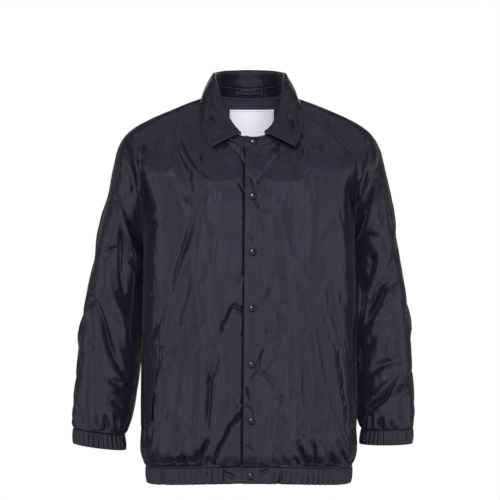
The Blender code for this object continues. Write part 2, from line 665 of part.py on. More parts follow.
def hem_band():
    """The elasticated band, from the right front's end, under, round the back to the left front's end, over."""
    middle = closing_x(HEM_SEAM_Z)
    under_end = angle_at(FRONT_SECTIONS, middle + EDGE_FROM_SNAPS, HEM_SEAM_Z)
    over_end = angle_at(FRONT_SECTIONS, middle - EDGE_FROM_SNAPS, HEM_SEAM_Z)
    turns = np.linspace(-math.pi - under_end, math.pi - over_end, 1201)
    heights = np.linspace(HEM_SEAM_Z - SEAM_GAP, HEM_BOTTOM_Z, 2)
    rows = []
    for z in heights:
        at_back = np.abs(turns) < math.pi / 2
        ring = np.where(
            at_back[:, None],
            back_half(turns, z),
            front_half(np.pi - turns, z),
        )
        rows.append(ring)
    fine = even(rows, 1200)
    length = np.linalg.norm(np.diff(fine[0], axis=0), axis=1).sum()
    run = np.linspace(0, length, 1201)
    gathered = length - 2 * HEM_FLAT
    share = np.clip((run - HEM_FLAT) / gathered, 0, 1)
    phase = HEM_WAVES * share + 0.9 * np.sin(2 * math.pi * 3.3 * share) * share * (1 - share)
    flat_steps = 6
    in_flat = np.minimum(run, HEM_FLAT) + np.maximum(run - length + HEM_FLAT, 0)
    measure = phase * 4 + in_flat / HEM_FLAT * flat_steps
    at = np.linspace(0, measure[-1], HEM_WAVES * 4 + 2 * flat_steps + 1)
    where = np.interp(at, measure, run)
    grid = np.array(
        [np.stack([np.interp(where, run, row[:, k]) for k in range(3)], axis=-1) for row in fine]
    )
    out = normals(grid)
    closed = ease(np.minimum(where, length - where) / HEM_FLAT * 1.0 - 0.75)
    depth = HEM_WAVE_DEPTH * (0.7 + 0.3 * np.sin(where * 37.0))
    waves = depth * np.cos(2 * math.pi * np.interp(where, run, phase)) * closed
    at_seam = np.array([GATHER_AT_SEAM, 1.0])
    shift = (CLOTH + LAYER_GAP) / 2
    lap = shift * ease(1 - (length - where - 2 * EDGE_FROM_SNAPS) / LAP_RAMP)
    lap -= shift * ease(1 - (where - 2 * EDGE_FROM_SNAPS) / LAP_RAMP)
    return hung(grid + out * (at_seam[:, None] * waves + lap)[..., None])


def cuff(side):
    """One elasticated cuff, seam first, as closed rings."""
    local = arm_rows(side, [CUFF_ROW + CUFF_SEAM_SHARE, CUFF_END_ROW], CUFF_WAVES * 4)
    phase = 2 * math.pi * np.arange(CUFF_WAVES * 4 + 1) / 4
    uneven = 0.75 + 0.25 * np.sin(phase / CUFF_WAVES * 3 + 0.6)
    out = normals(local)
    at_seam = np.array([GATHER_AT_SEAM, 1.0])
    local = local - out * (at_seam[:, None] * CUFF_WAVE_DEPTH * uneven * np.cos(phase))[..., None]
    local[:, -1] = local[:, 0]
    return mirrored(side, local)


def neck_lean(turn):
    """How far the neckband leans in over its height: most at the throat."""
    return 0.0055 - 0.0025 * np.cos(np.radians(turn))


def above_neck(turn, height):
    """A point this far up the neckband, or up the line that the collar follows from it."""
    base = neck(turn)
    inward = np.stack(np.broadcast_arrays(-base[..., 0], -0.005 - base[..., 1], 0 * base[..., 0]), axis=-1)
    lean = unit(inward) * (neck_lean(turn) / NECKBAND_HEIGHT)[..., None]
    up = unit(lean + np.array([0.0, 0.0, 1.0]))
    return base + up * np.asarray(height)[..., None]


def lap_offset(turn, reach=16.0):
    """Out at the over end of the neckband and in at its under end, by the turn from the middle of the back."""
    shift = (CLOTH + LAYER_GAP) / 2
    over = ease((turn - (180 - 2 * reach)) / reach)
    under = ease((-turn - (180 - 2 * reach)) / reach)
    return shift * (over - under)


def collar_turns():
    return np.linspace(-COLLAR_END_TURN, COLLAR_END_TURN, COLLAR_COLUMNS + 1)


def neckband_turns():
    ends = np.linspace(COLLAR_END_TURN, NECKBAND_END_TURN, 4)[1:]
    return np.concatenate([-ends[::-1], collar_turns(), ends])


def neckband():
    """The band from the neck seam to the collar seam, lapped at the front like the closing."""
    turns = neckband_turns()
    heights = np.array([0.0, NECKBAND_HEIGHT])
    grid = np.array([above_neck(turns, np.full(turns.shape, h)) for h in heights])
    out = normals(grid)
    return grid - out * lap_offset(turns)[None, :, None]


def collar_leaf():
    """The leaf, from the neckband's top up its rise, over the fold and down to its outer edge."""
    turns = collar_turns()
    v = read(COLLAR, "turn", np.abs(turns))
    forward = np.maximum(0, -np.cos(np.radians(turns)))
    edge = points(np.sign(turns) * v["edge_x"] + CLOSING_TOP_X * forward, v["edge_y"], v["edge_z"])
    foot = above_neck(turns, np.full(turns.shape, NECKBAND_HEIGHT + SEAM_GAP + CREASE_ROOM))
    top = above_neck(turns, NECKBAND_HEIGHT + v["rise"])
    up = unit(top - foot)
    outward = unit(np.cross(up, np.gradient(top, axis=0)))
    crown = top + outward * FOLD_RADIUS
    over = top + outward * 2 * FOLD_RADIUS - up * FOLD_RADIUS * 0.6
    low_in = top - up * np.minimum(FOLD_RADIUS * 0.8, v["rise"] * 0.35)[:, None]
    belly = (over * 0.5 + edge * 0.5) + outward * LEAF_BELLY
    lower = (over * 0.2 + edge * 0.8) + outward * LEAF_BELLY * 0.6
    return np.array([foot, foot * 0.5 + low_in * 0.5, low_in, crown, over, belly, lower, edge])


def find_on(grid, x, z, face):
    """The column and row of a grid that lie at a place seen from the front or back, by its nearest cell's corners."""
    rows, columns = grid.shape[:2]
    side = grid[..., 1] < 0 if face == "front" else grid[..., 1] > 0
    away = np.where(side, np.hypot(grid[..., 0] - x, grid[..., 2] - z), 9.0)
    row, column = np.unravel_index(away.argmin(), away.shape)
    u, v = float(column), float(row)
    for _ in range(20):
        here = at_place(grid, u, v)
        du = at_place(grid, min(u + 0.05, columns - 1.0), v) - at_place(grid, max(u - 0.05, 0), v)
        dv = at_place(grid, u, min(v + 0.05, rows - 1.0)) - at_place(grid, u, max(v - 0.05, 0))
        m = np.array([[du[0], dv[0]], [du[2], dv[2]]]) / 0.1
        step = np.linalg.solve(m, [x - here[0], z - here[2]])
        u = float(np.clip(u + np.clip(step[0], -2, 2), 0.06, columns - 1.06))
        v = float(np.clip(v + np.clip(step[1], -2, 2), 0.06, rows - 1.06))
    return u, v


def at_place(grid, u, v):
    """The point of a grid between its columns and rows."""
    i, j = int(min(v, grid.shape[0] - 1.001)), int(min(u, grid.shape[1] - 1.001))
    s, t = u - j, v - i
    low = grid[i, j] * (1 - s) + grid[i, j + 1] * s
    high = grid[i + 1, j] * (1 - s) + grid[i + 1, j + 1] * s
    return low * (1 - t) + high * t


def laid_on(grid, face, corners, rows, columns, lift):
    """A patch between four corners seen from the front or back, laid on a grid and moved off it by the lift."""
    out = normals(grid) * outward_of(grid)
    made = np.empty((rows + 1, columns + 1, 3))
    for i in range(rows + 1):
        for j in range(columns + 1):
            t, s = i / rows, j / columns
            top = corners[0] * (1 - s) + corners[1] * s
            bottom = corners[2] * (1 - s) + corners[3] * s
            u, v = find_on(grid, *(top * (1 - t) + bottom * t), face)
            made[i, j] = at_place(grid, u, v) + unit(at_place(out, u, v)) * lift
    return made


def over_end(strip):
    """The last part of a strip, which ends on the wearer's left front."""
    return strip[:, -strip.shape[1] // 8 :]


def outward_of(grid):
    """1 if the normals of a grid point away from the body's axis, and -1 if they point to it."""
    out = normals(grid)
    flat = grid * np.array([1, 1, 0])
    return 1 if (out * flat).sum() > 0 else -1


def welt(front, side):
    """The pocket's welt, from the slit towards the side seam, laid on the front."""
    corners = []
    for x, z in (WELT_TOP, WELT_BOTTOM):
        corners.append(np.array([side * x, z]))
        corners.append(np.array([side * (x + WELT_SEEN_WIDTH), z]))
    return laid_on(front, "front", corners, 7, 2, (CLOTH + WELT_CLOTH) / 2 + WELT_GAP)


def label(back):
    """The label, laid on the inside of the back below the neck seam."""
    half = LABEL_WIDTH / 2
    corners = [np.array([x, z]) for z in (LABEL_TOP_Z, LABEL_BOTTOM_Z) for x in (-half, half)]
    return laid_on(back, "back", corners, 3, 5, -(CLOTH + LABEL_CLOTH) / 2 - LAYER_GAP)


def hanger_loop():
    """A strip across the inside of the neckband, held at its ends and bowed off it between them."""
    s = np.linspace(-1, 1, 15)
    turns = np.degrees(np.arcsin(s * LOOP_SPAN / 2 / 0.085))
    heights = np.linspace(-0.5, 0.5, 2) * LOOP_HEIGHT + NECKBAND_HEIGHT * 0.42
    grid = np.array([above_neck(turns, np.full(turns.shape, h)) for h in heights])
    off = (CLOTH + LOOP_CLOTH) / 2 + LAYER_GAP * 0.7 + LOOP_BOW * (1 - s**2) ** 1.5
    return grid - normals(grid) * outward_of(grid) * off[None, :, None]


def finish_of(name, colour, roughness, metallic=0.0):
    found = bpy.data.materials.get(name)
    if found:
        return found
    material = bpy.data.materials.new(name)
    material.use_nodes = True
    shader = material.node_tree.nodes["Principled BSDF"]
    shader.inputs["Base Color"].default_value = (*colour, 1.0)
    shader.inputs["Roughness"].default_value = roughness
    shader.inputs["Metallic"].default_value = metallic
    return material


def nylon():
    return finish_of("black_nylon", (0.030, 0.029, 0.034), 0.45)


def add_piece(name, grid, cloth, material, closed_from=None):
    """An object from a grid of points. From row closed_from on, the last column is the first one again."""
    rows, columns = grid.shape[:2]
    number = np.arange(rows * columns).reshape(rows, columns)
    if closed_from is not None:
        number[closed_from:, -1] = number[closed_from:, 0]
    faces = [
        (number[i, j], number[i, j + 1], number[i + 1, j + 1], number[i + 1, j])
        for i in range(rows - 1)
        for j in range(columns - 1)
    ]
    used = sorted({v for face in faces for v in face})
    place = {v: k for k, v in enumerate(used)}
    mesh = bpy.data.meshes.new(name)
    flat = grid.reshape(-1, 3)
    mesh.from_pydata([flat[v] for v in used], [], [[place[v] for v in face] for face in faces])
    mesh.shade_smooth()
    mesh.materials.append(material)
    obj = bpy.data.objects.new(name, mesh)
    bpy.data.collections["coach_jacket"].objects.link(obj)
    wall = obj.modifiers.new("wall", "SOLIDIFY")
    wall.thickness = cloth
    wall.offset = 0
    return obj


def add_snap(name, grid, x, z):
    """A domed cap, turned about its axis and set square on the cloth."""
    u, v = find_on(grid, x, z, "front")
    spot = at_place(grid, u, v)
    out = unit(at_place(normals(grid), u, v)) * outward_of(grid)
    profile = [
        (0.0, SNAP_HEIGHT),
        (0.55 * SNAP_RADIUS, 0.88 * SNAP_HEIGHT),
        (0.88 * SNAP_RADIUS, 0.55 * SNAP_HEIGHT),
        (SNAP_RADIUS, 0.18 * SNAP_HEIGHT),
        (0.96 * SNAP_RADIUS, 0.0),
        (0.0, 0.0),
    ]
    mesh = bpy.data.meshes.new(name)
    mesh.from_pydata([(r, 0, h) for r, h in profile], [(i, i + 1) for i in range(5)], [])
    mesh.materials.append(finish_of("snap_black", (0.035, 0.034, 0.038), 0.35, 0.2))
    obj = bpy.data.objects.new(name, mesh)
    bpy.data.collections["coach_jacket"].objects.link(obj)
    turned = obj.modifiers.new("turned", "SCREW")
    turned.angle = 2 * math.pi
    turned.steps = turned.render_steps = 12
    turned.use_merge_vertices = True
    turned.merge_threshold = 0.00005
    obj.rotation_mode = "QUATERNION"
    side = unit(np.cross([0.0, 0.0, 1.0], out))
    up = np.cross(out, side)
    basis = np.stack([side, up, out], axis=1)
    obj.rotation_quaternion = Matrix(basis.tolist()).to_quaternion()
    obj.location = spot + out * (CLOTH / 2 + SNAP_SEAT)
    return obj


def build():
    for obj in list(bpy.data.objects):
        bpy.data.objects.remove(obj, do_unlink=True)
    collection = bpy.data.collections.new("coach_jacket")
    bpy.context.scene.collection.children.link(collection)

    fronts = {side: front_panel(side) for side in (LEFT, RIGHT)}
    back = back_panel()
    arms = {side: sleeve(side) for side in (LEFT, RIGHT)}
    band, stand = hem_band(), neckband()
    for side in (LEFT, RIGHT):
        part_at_raglans(side, fronts[side], back, arms[side])
    part_at_neck(
        [
            (fronts[LEFT][-1], fronts[LEFT][-2]),
            (fronts[RIGHT][-1], fronts[RIGHT][-2]),
            (back[-1], back[-2]),
            (arms[LEFT][0], arms[LEFT][1]),
            (arms[RIGHT][0], arms[RIGHT][1]),
        ],
        stand,
    )

    add_piece("left_front", fronts[LEFT], CLOTH, nylon())
    add_piece("right_front", fronts[RIGHT], CLOTH, nylon())
    add_piece("back", back, CLOTH, nylon())
    add_piece("left_sleeve", arms[LEFT], CLOTH, nylon(), closed_from=ROWS_ABOVE)
    add_piece("right_sleeve", arms[RIGHT], CLOTH, nylon(), closed_from=ROWS_ABOVE)
    add_piece("left_cuff", cuff(LEFT), CLOTH, nylon(), closed_from=0)
    add_piece("right_cuff", cuff(RIGHT), CLOTH, nylon(), closed_from=0)
    add_piece("hem_band", band, CLOTH, nylon())
    add_piece("neckband", stand, CLOTH, nylon())
    add_piece("collar", collar_leaf(), COLLAR_CLOTH, nylon())
    add_piece("left_pocket_welt", welt(fronts[LEFT], LEFT), WELT_CLOTH, nylon())
    add_piece("right_pocket_welt", welt(fronts[RIGHT], RIGHT), WELT_CLOTH, nylon())
    add_piece("hanger_loop", hanger_loop(), LOOP_CLOTH, nylon())
    add_piece("label", label(back), LABEL_CLOTH, finish_of("label_white", (0.80, 0.80, 0.86), 0.6))
    for k in range(SNAP_COUNT):
        z = SNAP_TOP_Z - k * SNAP_PITCH
        on = over_end(stand) if k == 0 else over_end(band) if k == SNAP_COUNT - 1 else fronts[LEFT]
        add_snap(f"snap_{k + 1}", on, closing_x(z), z)


build()
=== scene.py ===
import math

import bpy
import mathutils
import numpy as np
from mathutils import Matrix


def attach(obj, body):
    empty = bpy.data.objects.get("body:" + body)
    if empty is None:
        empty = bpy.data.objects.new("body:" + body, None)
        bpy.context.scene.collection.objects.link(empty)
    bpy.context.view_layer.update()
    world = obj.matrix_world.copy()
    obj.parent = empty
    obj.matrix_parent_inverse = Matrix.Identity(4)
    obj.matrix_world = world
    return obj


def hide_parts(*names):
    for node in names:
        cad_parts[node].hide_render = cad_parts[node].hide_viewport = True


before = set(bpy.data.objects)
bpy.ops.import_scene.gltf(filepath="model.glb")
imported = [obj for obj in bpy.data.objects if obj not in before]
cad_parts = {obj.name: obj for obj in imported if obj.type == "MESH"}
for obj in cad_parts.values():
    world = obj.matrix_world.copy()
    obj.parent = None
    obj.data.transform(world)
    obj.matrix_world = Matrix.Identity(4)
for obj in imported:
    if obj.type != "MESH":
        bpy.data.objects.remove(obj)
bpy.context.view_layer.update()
print("coach jacket: frame loaded")

left, right = 1, -1  # the wearer's sides, +X and -X

# The picture is frameSize units wide. One unit is this many metres at the jacket's middle plane.
cameraPlace = {"x": 0.002, "distance": 3.5, "z": -0.2886, "reach": 0.9685, "frameSize": 500}
frameUnit = cameraPlace["reach"] / cameraPlace["frameSize"]

garment = {
    "cloth": 0.0008,  # thickness of the nylon
    "seamGap": 0.0002,
    "hemBottom": -0.725,
    "hemSeam": -0.693,
    "armpit": -0.250,
    "sideDrop": 0.010,  # how much lower the sides hang than the middle
    "sideDropFrom": -0.400,
    "seamRoll": 0.0011,  # how far the cloth stands up on each side of a seam
    "seamRollWidth": 0.0032,
    "puckerPitch": (0.011, 0.009),  # along the side and the top seams
    "girth": 1.28,  # of the body at the hem, for the gathers
    "cuffLength": 0.031,
    "fine": 320,
}


def table(columns, rows):
    # a dictionary of columns from rows of numbers
    return dict(zip(columns.split(), np.array(rows, float).T))


def spline(knots, values, at):
    # cubics between knots, with the slope at a knot of the parabola through it and its neighbours; a value is
    # a number, a point or a row of points
    more = (1,) * (values.ndim - 1)
    step = np.diff(knots).reshape(-1, *more)
    chord = np.diff(values, axis=0) / step
    slope = np.empty(values.shape)
    slope[1:-1] = (step[1:] * chord[:-1] + step[:-1] * chord[1:]) / (step[1:] + step[:-1])
    slope[0], slope[-1] = chord[0], chord[-1]
    at = np.asarray(at, float)
    i = np.clip(np.searchsorted(knots, at) - 1, 0, len(step) - 1)
    s = np.reshape(at - knots[i], at.shape + more) / step[i]
    return (
        values[i] * (1 + 2 * s) * (1 - s) ** 2
        + values[i + 1] * s**2 * (3 - 2 * s)
        + step[i] * (slope[i] * s * (1 - s) ** 2 - slope[i + 1] * s**2 * (1 - s))
    )


def readAt(source, key, at):
    # every other column of a table, read at the key's value
    return {name: spline(source[key], source[name], at) for name in source if name != key}


def points(x, y, z):
    return np.stack(np.broadcast_arrays(x, y, z), axis=-1)


def unit(v):
    return v / np.maximum(np.linalg.norm(v, axis=-1, keepdims=True), 1e-12)


def ease(s):
    # from 0 to 1 with level ends: 3s^2 - 2s^3
    s = np.clip(s, 0, 1)
    return s * s * (3 - 2 * s)


def bell(r):
    # e^-r^2
    return np.exp(-(r**2))


def runOf(row):
    # distance along a row of points
    return np.concatenate([[0], np.cumsum(np.linalg.norm(np.diff(row, axis=0), axis=1))])


def placeAt(at, run, line):
    # the points of a line at these distances along it
    return np.stack([np.interp(at, run, line[:, k]) for k in range(3)], axis=-1)


def evenRows(rows, count, crowd=0.0):
    # each row resampled to count steps, at t - crowd sin(2 pi t) / 2 pi of its length: closer at its ends
    t = np.linspace(0, 1, count + 1)
    t = t - crowd * np.sin(2 * math.pi * t) / (2 * math.pi)
    made = []
    for row in rows:
        run = runOf(row)
        made.append(placeAt(t * run[-1], run, row))
    return np.array(made)


def normalsOf(grid):
    # unit cross product of the steps along columns and rows
    return unit(np.cross(np.gradient(grid, axis=1), np.gradient(grid, axis=0)))


def mirrored(side, grid):
    # x turned over for the wearer's right side
    return grid * np.array([side, 1, 1])


def acrossAndUp(grid):
    # metres along each row and along each column, which are the cloth's own coordinates
    across = np.linalg.norm(np.diff(grid, axis=1), axis=-1).cumsum(axis=1)
    up = np.linalg.norm(np.diff(grid, axis=0), axis=-1).cumsum(axis=0)
    across = np.concatenate([np.zeros((len(grid), 1)), across], axis=1)
    up = np.concatenate([np.zeros((1, grid.shape[1])), up], axis=0)
    return across, up


# Folds: each is a line through places in the picture's units. The columns of a fold table are its half
# breadth in those units, or those at its two ends, its height in millimetres, negative for a trough, its
# lean, its sharpness, its strength at its start and at its end, and its places.


def foldTable(text):
    # folds from lines of text, one fold a line
    made = []
    for line in text.strip().splitlines():
        breadth, height, lean, sharp, start, end, *places = line.split()
        breadth = [float(word) for word in breadth.split("/")]
        numbers = [float(word) for word in (height, lean, sharp, start, end)]
        line = [tuple(map(float, place.split(","))) for place in places]
        made.append((breadth[0], breadth[-1], *numbers, line))
    return made


foldShape = {
    "depth": 1.35,
    "narrowDepth": 0.75,  # narrow folds are deeper for their breadth
    "narrow": 3.2,
    "narrowing": 1.4,
    "reach": 3.2,  # breadths
    "endShare": 0.4,
}


def pathThrough(places, count=26):
    # a smooth curve through places, by cubics over their running distance
    places = np.array(places, float)
    if len(places) == 2:
        places = np.array([places[0], places.mean(axis=0), places[1]])
    run = np.concatenate([[0], np.cumsum(np.hypot(*np.diff(places, axis=0).T))])
    at = np.linspace(0, run[-1], count)
    return spline(run, places, at)


def foldField(u, v, folds):
    # sum of height * profile(distance from the line / breadth) * strength along it, in metres
    total = np.zeros(u.shape)
    for first, last, height, lean, sharp, start, end, places in folds:
        narrow = ease((foldShape["narrow"] - min(first, last)) / foldShape["narrowing"])
        height = height * (foldShape["depth"] + foldShape["narrowDepth"] * narrow)
        line = pathThrough(places)
        reach = foldShape["reach"] * max(first, last) * (1 + abs(lean))
        low, high = line.min(axis=0) - reach, line.max(axis=0) + reach
        near = (u > low[0]) & (u < high[0]) & (v > low[1]) & (v < high[1])
        if not near.any():
            continue
        place = np.stack([u[near], v[near]], axis=-1)[:, None]
        step = np.diff(line, axis=0)[None]
        length = np.linalg.norm(step, axis=-1)
        t = np.clip(((place - line[None, :-1]) * step).sum(-1) / length**2, 0, 1)
        off = place - line[None, :-1] - t[..., None] * step
        away = np.linalg.norm(off, axis=-1)
        pick = away.argmin(axis=1)
        rows = np.arange(len(pick))
        away, t = away[rows, pick], t[rows, pick]
        turn = step[0, pick, 0] * off[rows, pick, 1] - step[0, pick, 1] * off[rows, pick, 0]
        passed = np.concatenate([[0], np.cumsum(length[0])])
        along = (passed[pick] + t * length[0, pick]) / passed[-1]
        wide = (first + (last - first) * along) * (1 + lean * np.tanh(2 * turn / (length[0, pick] * first)))
        r = away / wide
        profile = (1 - sharp) * bell(r) + sharp * np.exp(-1.5 * (np.sqrt(r * r + 0.04) - 0.2))
        strength = start + (1 - start) * ease(along / foldShape["endShare"])
        strength = strength * (end + (1 - end) * ease((1 - along) / foldShape["endShare"]))
        total[near] += 0.001 * height * profile * strength
    return total


def seenFrom(view, grid):
    # a place on the picture from the front, or straight on from the back or a side, in the picture's units
    x, y, z = grid[..., 0], grid[..., 1], grid[..., 2]
    middle = cameraPlace["frameSize"] / 2
    far = cameraPlace["distance"]
    size = frameUnit * (far + y) / far if view == "front" else frameUnit
    across = {"front": x - cameraPlace["x"], "back": -x, "leftSide": y, "rightSide": -y}[view]
    return middle + across / size, middle - (z - cameraPlace["z"]) / size


def facing(view, out):
    # 1 where the cloth faces the view and 0 where it faces away
    axis, sign = {"front": (1, -1), "back": (1, 1), "leftSide": (0, 1), "rightSide": (0, -1)}[view]
    return ease((sign * out[..., axis] + 0.02) / 0.35)


def foldsSeen(views, grid, out):
    # the folds of each view, where the cloth faces that view
    total = np.zeros(grid.shape[:2])
    for view, folds in views.items():
        u, v = seenFrom(view, grid)
        total += foldField(u, v, folds) * facing(view, out)
    return total


def smallFolds(seed, count, area, heights, slant=0, spread=26, lengths=(8, 24), breadths=(1.1, 2.6)):
    # short folds at random places in an area, most of them near one slant, in degrees from upright
    rng = np.random.default_rng(seed)
    u0, v0, u1, v1 = area
    made = []
    for _ in range(count):
        u, v = rng.uniform(u0, u1), rng.uniform(v0, v1)
        turn = math.radians(slant + rng.normal() * spread)
        half = rng.uniform(*lengths) / 2
        du, dv = half * math.sin(turn), half * math.cos(turn)
        bow = rng.normal() * half * 0.18
        places = [(u - du, v - dv), (u + bow * math.cos(turn), v - bow * math.sin(turn)), (u + du, v + dv)]
        height = rng.uniform(*heights) * (1 if rng.random() < 0.45 else -1)
        sharp = rng.uniform(0.1, 0.55)
        breadth = rng.uniform(*breadths)
        made.append((breadth, breadth, height, rng.uniform(-0.4, 0.4), sharp, 0.0, 0.0, places))
    return made


def noiseAt(seed, x, y):
    # smooth lattice noise from -1 to 1, with one lattice step per unit
    rng = np.random.default_rng(seed)
    turn = rng.uniform(0, 2 * math.pi, (64, 64))
    i, j = np.floor(x).astype(int), np.floor(y).astype(int)
    fx, fy = x - i, y - j
    total = np.zeros(np.shape(x))
    for a in (0, 1):
        for b in (0, 1):
            angle = turn[(i + a) % 64, (j + b) % 64]
            slope = np.cos(angle) * (fx - a) + np.sin(angle) * (fy - b)
            total += slope * ease(1 - np.abs(fx - a)) * ease(1 - np.abs(fy - b))
    return total * 1.5


def drapes(seed, across, up, width, length, height, ridged=0.0):
    # noise stretched along the hang of the cloth; ridged from 0, rounded, to 1, creased
    bent = 0.35 * noiseAt(seed + 50, across / (2.2 * width), up / (0.9 * length))
    n = noiseAt(seed, across / width + bent, up / length)
    creased = 0.55 - 1.9 * np.sqrt(n * n + 0.012)
    return height * ((1 - ridged) * n + ridged * creased)


# metres over which the folds fade towards a piece's edges
fadeOver = {"side": 0.010, "top": 0.012, "hem": 0.004, "end": 0.003, "sleeveSide": 0.012, "sleeveTop": 0.014}


def seamRoll(away):
    # the cloth rises from a seam: roll * (1 - e^-(away / width)^2)
    return garment["seamRoll"] * (1 - bell(away / garment["seamRollWidth"]))


def puckers(seed, along, away, pitch=0.010, height=0.0006, reach=0.014):
    # small uneven waves along a stitched line, which fade away from it
    uneven = 0.55 + 0.45 * noiseAt(seed, along / 0.035, along * 0)
    wander = 0.5 * noiseAt(seed + 1, along / 0.05, along * 0 + 3.3)
    wave = np.cos(2 * math.pi * (along / pitch + wander))
    return height * uneven * wave * ease(1 - away / reach) * ease(away / 0.0025)


def seamed(sideSeed, topSeed, across, up, fromSide, fromTop):
    # a panel's rise from its side and top seams, and the puckers along them
    rise = seamRoll(fromSide) + seamRoll(fromTop) - garment["seamRoll"]
    sidePitch, topPitch = garment["puckerPitch"]
    return rise + puckers(sideSeed, up, fromSide, sidePitch) + puckers(topSeed, across, fromTop, topPitch)


# The jacket's form: half sections of the body at each height.
frontSections = table(
    "z halfWidth depth squareness",
    [
        (-0.725, 0.1960, 0.1300, 2.70),
        (-0.693, 0.1990, 0.1335, 2.60),
        (-0.672, 0.2065, 0.1430, 2.50),
        (-0.620, 0.2070, 0.1460, 2.45),
        (-0.500, 0.2060, 0.1450, 2.40),
        (-0.380, 0.2050, 0.1430, 2.35),
        (-0.250, 0.2040, 0.1400, 2.30),
        (-0.215, 0.2080, 0.1380, 2.25),
        (-0.180, 0.2225, 0.1330, 2.20),
        (-0.135, 0.2580, 0.1210, 2.10),
        (-0.114, 0.2600, 0.1120, 2.05),
        (-0.0935, 0.2500, 0.1000, 2.00),
        (-0.077, 0.2350, 0.0890, 2.00),
        (-0.054, 0.2160, 0.0735, 2.00),
        (-0.030, 0.2000, 0.0565, 2.00),
        (-0.010, 0.1800, 0.0420, 2.00),
    ],
)
backSections = table(
    "z halfWidth depth squareness",
    [
        (-0.725, 0.1960, 0.1220, 2.60),
        (-0.693, 0.1990, 0.1250, 2.50),
        (-0.672, 0.2065, 0.1340, 2.40),
        (-0.620, 0.2070, 0.1360, 2.40),
        (-0.500, 0.2060, 0.1340, 2.40),
        (-0.380, 0.2050, 0.1320, 2.35),
        (-0.250, 0.2040, 0.1310, 2.30),
        (-0.225, 0.2080, 0.1315, 2.25),
        (-0.190, 0.2254, 0.1320, 2.20),
        (-0.140, 0.2530, 0.1290, 2.10),
        (-0.100, 0.2480, 0.1220, 2.00),
        (-0.060, 0.2100, 0.1100, 2.00),
        (-0.020, 0.1300, 0.0920, 2.00),
        (0.000, 0.1000, 0.0810, 2.00),
        (0.015, 0.0800, 0.0710, 2.00),
    ],
)
# The neck seam, turned from 0 at the middle of the back to 180 at the middle of the front.
neckSeam = table(
    "turn x y z",
    [
        (-30, -0.0450, 0.0595, 0.0135),
        (0, 0.0000, 0.0730, 0.0115),
        (30, 0.0450, 0.0595, 0.0135),
        (45, 0.0595, 0.0460, 0.0145),
        (60, 0.0675, 0.0280, 0.0150),
        (90, 0.0705, -0.0070, 0.0100),
        (120, 0.0645, -0.0495, -0.0250),
        (140, 0.0520, -0.0770, -0.0640),
        (160, 0.0300, -0.0945, -0.0870),
        (180, 0.0000, -0.1000, -0.0935),
        (200, -0.0300, -0.0945, -0.0870),
    ],
)
# The shoulder of a sleeve, from the neck, row 0, to the armpit, row 9.
shoulder = table(
    "row frontX frontZ backX backZ ridgeX ridgeZ seamPull ridgePull turn",
    [
        (0, 0.0665, -0.0190, 0.0595, 0.0145, 0.0705, 0.0100, 0.016, 0.016, 0.0),
        (1, 0.1030, -0.0300, 0.1000, -0.0180, 0.1050, -0.0010, 0.024, 0.030, 0.0),
        (2, 0.1400, -0.0540, 0.1400, -0.0580, 0.1450, -0.0165, 0.032, 0.036, 0.0),
        (3, 0.1660, -0.0770, 0.1580, -0.0800, 0.1900, -0.0360, 0.036, 0.040, 0.0),
        (4, 0.1870, -0.0980, 0.1730, -0.1020, 0.2200, -0.0530, 0.040, 0.043, 0.05),
        (5, 0.1995, -0.1140, 0.1830, -0.1250, 0.2400, -0.0720, 0.045, 0.046, 0.2),
        (6, 0.2030, -0.1370, 0.1910, -0.1500, 0.2545, -0.1030, 0.048, 0.052, 0.55),
        (7, 0.2035, -0.1800, 0.1990, -0.1900, 0.2655, -0.1500, 0.062, 0.068, 0.85),
        (8, 0.2037, -0.2150, 0.2035, -0.2250, 0.2730, -0.2000, 0.085, 0.088, 1.0),
        (9, 0.2040, -0.2500, 0.2040, -0.2500, 0.2810, -0.2500, 0.104, 0.104, 1.0),
    ],
)
# The arm's rings, from the armpit, row 9, to the cuff seam, row 14, and the cuff's end, row 15.
armRings = table(
    "row outerX outerY outerZ innerX innerY innerZ front back",
    [
        (9, 0.2810, 0.000, -0.250, 0.2040, 0.000, -0.250, 0.0780, 0.0780),
        (10, 0.2885, 0.003, -0.302, 0.1960, 0.030, -0.298, 0.0800, 0.0760),
        (11, 0.3045, 0.008, -0.402, 0.1920, 0.036, -0.396, 0.0780, 0.0700),
        (12, 0.3120, 0.006, -0.502, 0.1930, 0.034, -0.494, 0.0720, 0.0640),
        (13, 0.3150, -0.002, -0.596, 0.2015, 0.016, -0.590, 0.0620, 0.0560),
        (14, 0.3125, -0.005, -0.632, 0.2135, 0.003, -0.633, 0.0440, 0.0420),
        (15, 0.3110, -0.006, -0.6620, 0.2105, 0.002, -0.6630, 0.0430, 0.0410),
    ],
)
armpitRow, cuffRow, cuffEndRow = 9, 14, 15
frontRaglanTurn, backRaglanTurn = 116, 45

closing = {
    "snapCount": 7,
    "snapTop": -0.084,
    "snapPitch": 0.1045,
    "topX": 0.0088,  # the line of snaps leans from here at the neck
    "bottomX": 0.0040,  # to here at the hem
    "edgeFromSnaps": 0.0155,
    "lapRamp": 0.035,
    "layers": 0.0020,  # how far apart the two laps lie
    "stitchFromEdge": 0.0245,
}
arms = {
    "swing": {left: 0.5, right: 3.1},  # degrees out
    "cuffDrop": {left: 0.0, right: 0.004},
    "cuffTilt": {left: 0.0, right: 0.075},
    "swingX": 0.250,
    "swingZ": -0.140,
    "swingReach": 0.100,
    "clearance": 0.0042,  # from the body
    "armpitClearance": 0.0019,
}


def bodyHalf(sections, sign, angle, z):
    # x = halfWidth sin^(2/n), y = depth cos^(2/n), at angles from 0, the middle, to a quarter turn, the side
    s = readAt(sections, "z", z)
    power = 2 / s["squareness"]
    x = s["halfWidth"] * np.sign(np.sin(angle)) * np.abs(np.sin(angle)) ** power
    y = sign * s["depth"] * np.abs(np.cos(angle)) ** power
    return points(x, y, z)


def frontHalf(angle, z):
    return bodyHalf(frontSections, -1, angle, z)


